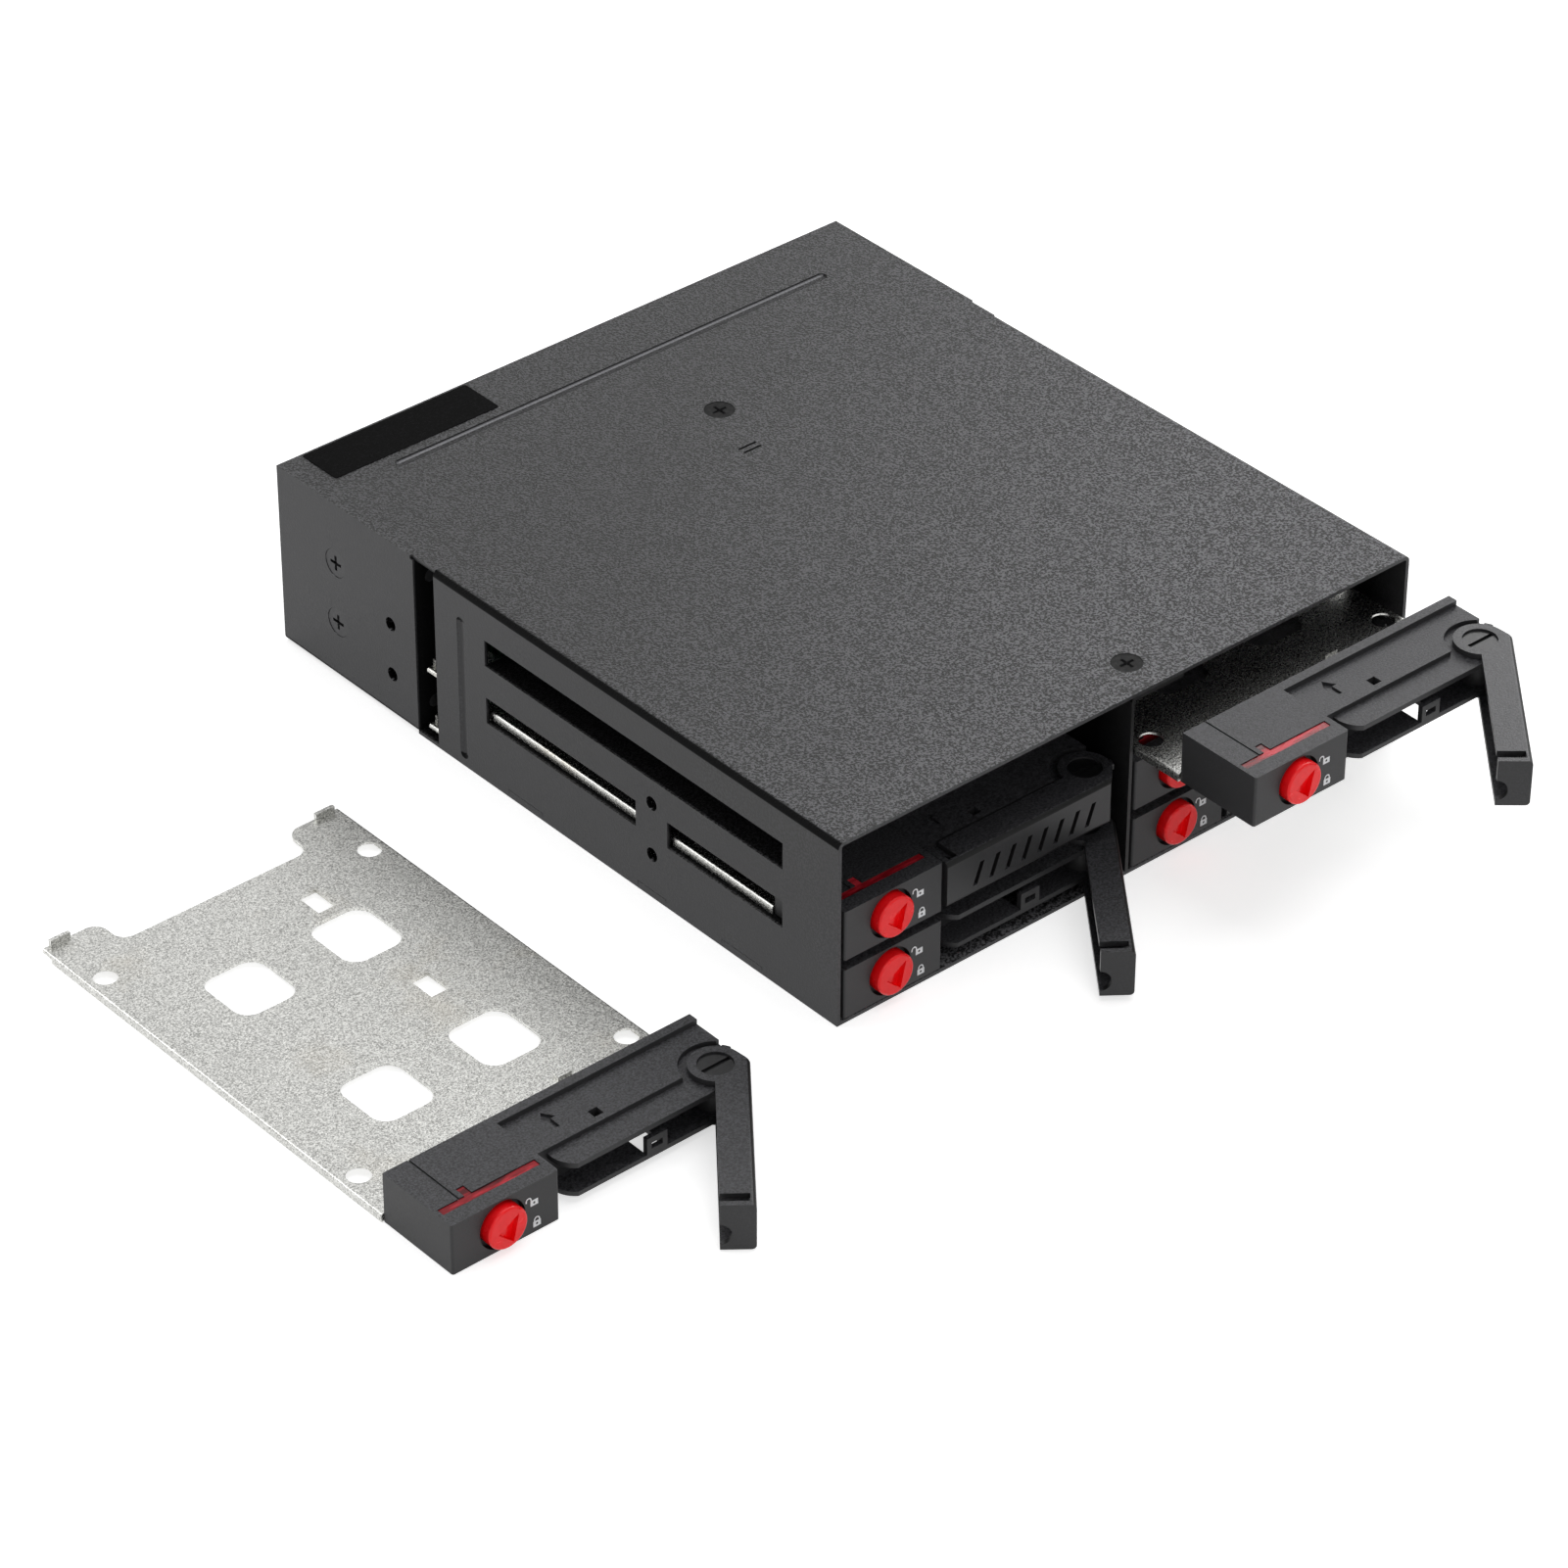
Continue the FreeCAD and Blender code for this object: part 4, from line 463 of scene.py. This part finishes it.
def padlock(bm, cx, cz, closed):
    """Padlock sign about 2 mm high: a body with a keyhole and a shackle over it or beside it."""
    mid = cz + BODY_LOW + BODY_HALF_HEIGHT
    high = mid + BODY_HALF_HEIGHT
    hole = arc(cx, mid, KEYHOLE_R, 0, 360, 12)
    rim = [(cx + max(-BODY_HALF_WIDTH, min(BODY_HALF_WIDTH, 2.0 * math.cos(a))),
            mid + max(-BODY_HALF_HEIGHT, min(BODY_HALF_HEIGHT, 1.2 * math.sin(a))))
           for a in (math.radians(30 * n) for n in range(13))]
    add_band(bm, hole, rim, INK_THICK)
    middle = cx if closed else cx + OPEN_SHIFT
    top = high + SHACKLE_LEG
    inner = arc(middle, top, SHACKLE_INNER_R, 0, 180, 8)
    outer = arc(middle, top, SHACKLE_OUTER_R, 0, 180, 8)
    add_band(bm, inner, outer, INK_THICK)
    for side in (-1, 1):
        foot = high if closed or side > 0 else high - FREE_LEG_EXTRA
        x0, x1 = sorted((middle + side * SHACKLE_INNER_R, middle + side * SHACKLE_OUTER_R))
        add_prism(bm, [(x0, foot), (x1, foot), (x1, top), (x0, top)], INK_THICK)


def ink():
    """White screen print."""
    g = Graph("sign_ink")
    grain = g.noise(2500.0, 2.0, 0.5)
    tone = g.ramp(grain, [(0.3, (0.70, 0.72, 0.74)), (0.7, (0.86, 0.87, 0.88))])
    g.surface(Base_Color=tone, Roughness=g.spread(grain, 0.4, 0.55),
              Normal=g.bump(grain, 0.1, 0.00002))
    return g.material


def mesh_object(name, bm, material):
    """Object with the mesh that was drawn, in the scene and with its material."""
    bmesh.ops.recalc_face_normals(bm, faces=bm.faces)
    data = bpy.data.meshes.new(name)
    bm.to_mesh(data)
    bm.free()
    data.materials.append(material)
    piece = bpy.data.objects.new(name, data)
    bpy.context.scene.collection.objects.link(piece)
    return piece


def make_signs():
    """Both padlock signs on the block of every tray, one object for each tray."""
    white = ink()
    for side in SIDES:
        for row in ROWS:
            tray = "tray_%s_%s" % (row, side)
            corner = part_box(tray + "_bezel")[0]
            bm = bmesh.new()
            padlock(bm, *ICON_OPEN, closed=False)
            padlock(bm, *ICON_CLOSED, closed=True)
            bmesh.ops.scale(bm, vec=(MM, MM, MM), verts=bm.verts)
            bmesh.ops.translate(bm, vec=corner - Vector((0, INK_GAP * MM, 0)), verts=bm.verts)
            signs = mesh_object(tray + "_signs", bm, white)
            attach(signs, tray)


# ---- bare label on the roof ---------------------------------------------------------------
LABEL_CENTRE = (-46.7, 77.65)
LABEL_SIZE = (41.0, 11.0)
LABEL_THICK = 0.12
LABEL_CORNER = 0.6
LABEL_GAP = 0.005
LABEL_EDGE_R = 0.04


def film():
    """Glossy black polyester film with a slight waviness."""
    g = Graph("label_film")
    wave = g.noise(120.0, 2.0, 0.5)
    dust = g.noise(1800.0, 4.0, 0.7)
    tone = g.ramp(dust, [(0.5, (0.002, 0.002, 0.002)), (0.8, (0.008, 0.008, 0.009))])
    g.surface(Base_Color=tone, Roughness=g.spread(dust, 0.2, 0.34, 0.4, 0.8),
              Specular_IOR_Level=0.02, Normal=g.bump(wave, 0.12, 0.0004))
    return g.material


def make_label():
    """Bare film with rounded corners on the roof, where the maker's sticker sits."""
    roof = cad_high.z / MM
    cx, cy = LABEL_CENTRE
    bm = bmesh.new()
    outline = []
    for sx, sy, start in ((1, 1, 0), (-1, 1, 90), (-1, -1, 180), (1, -1, 270)):
        ox = cx + sx * (LABEL_SIZE[0] / 2 - LABEL_CORNER)
        oy = cy + sy * (LABEL_SIZE[1] / 2 - LABEL_CORNER)
        outline += arc(ox, oy, LABEL_CORNER, start, start + 90, 6)
    top = [bm.verts.new((x * MM, y * MM, (roof + LABEL_THICK) * MM)) for x, y in outline]
    low = [bm.verts.new((x * MM, y * MM, (roof + LABEL_GAP) * MM)) for x, y in outline]
    bm.faces.new(top)
    bm.faces.new(list(reversed(low)))
    for n in range(len(top)):
        m = (n + 1) % len(top)
        bm.faces.new((top[n], top[m], low[m], low[n]))
    label = mesh_object("roof_label", bm, film())
    soften = label.modifiers.new("soft_edge", "BEVEL")
    soften.width = LABEL_EDGE_R * MM
    soften.segments = 2
    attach(label, "cage")


# ---- floor, light and background ----------------------------------------------------------
FLOOR_HALF = 6.0
FLOOR_GAP = 0.1 * MM


def make_floor():
    data = bpy.data.meshes.new("floor")
    half, z = FLOOR_HALF, cad_low.z - FLOOR_GAP
    corners = [(-half, -half, z), (half, -half, z), (half, half, z), (-half, half, z)]
    data.from_pydata(corners, [], [(0, 1, 2, 3)])
    floor = bpy.data.objects.new("floor", data)
    bpy.context.scene.collection.objects.link(floor)
    g = Graph("floor_paper")
    paper = g.noise(60.0, 3.0, 0.5)
    tone = g.ramp(paper, [(0.3, (0.86, 0.86, 0.86)), (0.7, (0.90, 0.90, 0.90))])
    g.surface(Base_Color=tone, Roughness=0.9, Specular_IOR_Level=0.1)
    path = g.tree.nodes.new("ShaderNodeLightPath")
    seen = g.add("Math")
    seen.operation = "MAXIMUM"
    g.put(seen.inputs[0], path.outputs["Is Camera Ray"])
    g.put(seen.inputs[1], path.outputs["Is Glossy Ray"])
    glow = g.add("Emission", Color=rgb(1, 1, 1), Strength=g.spread(seen.outputs[0], 0, 0.6, 0, 1))
    both = g.tree.nodes.new("ShaderNodeAddShader")
    g.put(both.inputs[0], g.shader.outputs[0])
    g.put(both.inputs[1], glow.outputs[0])
    output = g.tree.nodes["Material Output"]
    g.tree.links.new(both.outputs[0], output.inputs["Surface"])
    floor.data.materials.append(g.material)


AMBIENT = 0.34


def make_world():
    """Dim white light on surfaces; plain white where the camera or a reflection looks."""
    world = bpy.data.worlds.new("studio")
    bpy.context.scene.world = world
    world.use_nodes = True
    tree = world.node_tree
    plain = tree.nodes["Background"]
    plain.inputs["Color"].default_value = rgb(1, 1, 1)
    plain.inputs["Strength"].default_value = AMBIENT
    seen = tree.nodes.new("ShaderNodeBackground")
    seen.inputs["Color"].default_value = rgb(1, 1, 1)
    seen.inputs["Strength"].default_value = 1.0
    path = tree.nodes.new("ShaderNodeLightPath")
    most = path.outputs["Is Camera Ray"]
    for name in ("Is Glossy Ray", "Is Transmission Ray"):
        either = tree.nodes.new("ShaderNodeMath")
        either.operation = "MAXIMUM"
        tree.links.new(most, either.inputs[0])
        tree.links.new(path.outputs[name], either.inputs[1])
        most = either.outputs[0]
    choice = tree.nodes.new("ShaderNodeMixShader")
    tree.links.new(most, choice.inputs[0])
    tree.links.new(plain.outputs[0], choice.inputs[1])
    tree.links.new(seen.outputs[0], choice.inputs[2])
    tree.links.new(choice.outputs[0], tree.nodes["World Output"].inputs["Surface"])


LAMPS = {
    # name: (place, size, power)
    "top": ((0.3, 0.0, 1.5), 1.2, 7.0),
    "sheen": ((1.25, 0.60, 0.8), 0.7, 7.0),
    "rear_left": ((-0.55, 0.45, 0.45), 0.35, 1.0),
    "front": ((-0.5, -1.4, 0.7), 0.9, 4.8),
}


def make_lamps():
    """Square softboxes that look at the origin."""
    for name, (place, size, power) in LAMPS.items():
        data = bpy.data.lights.new(name, "AREA")
        data.shape = "SQUARE"
        data.size = size
        data.energy = power
        lamp = bpy.data.objects.new(name, data)
        lamp.location = place
        lamp.rotation_mode = "QUATERNION"
        lamp.rotation_quaternion = (-Vector(place)).to_track_quat("-Z", "Y")
        bpy.context.scene.collection.objects.link(lamp)


def main():
    bpy.context.scene.view_settings.view_transform = "Standard"
    make_camera()
    dress_nodes()
    make_signs()
    make_label()
    make_floor()
    make_world()
    make_lamps()


main()
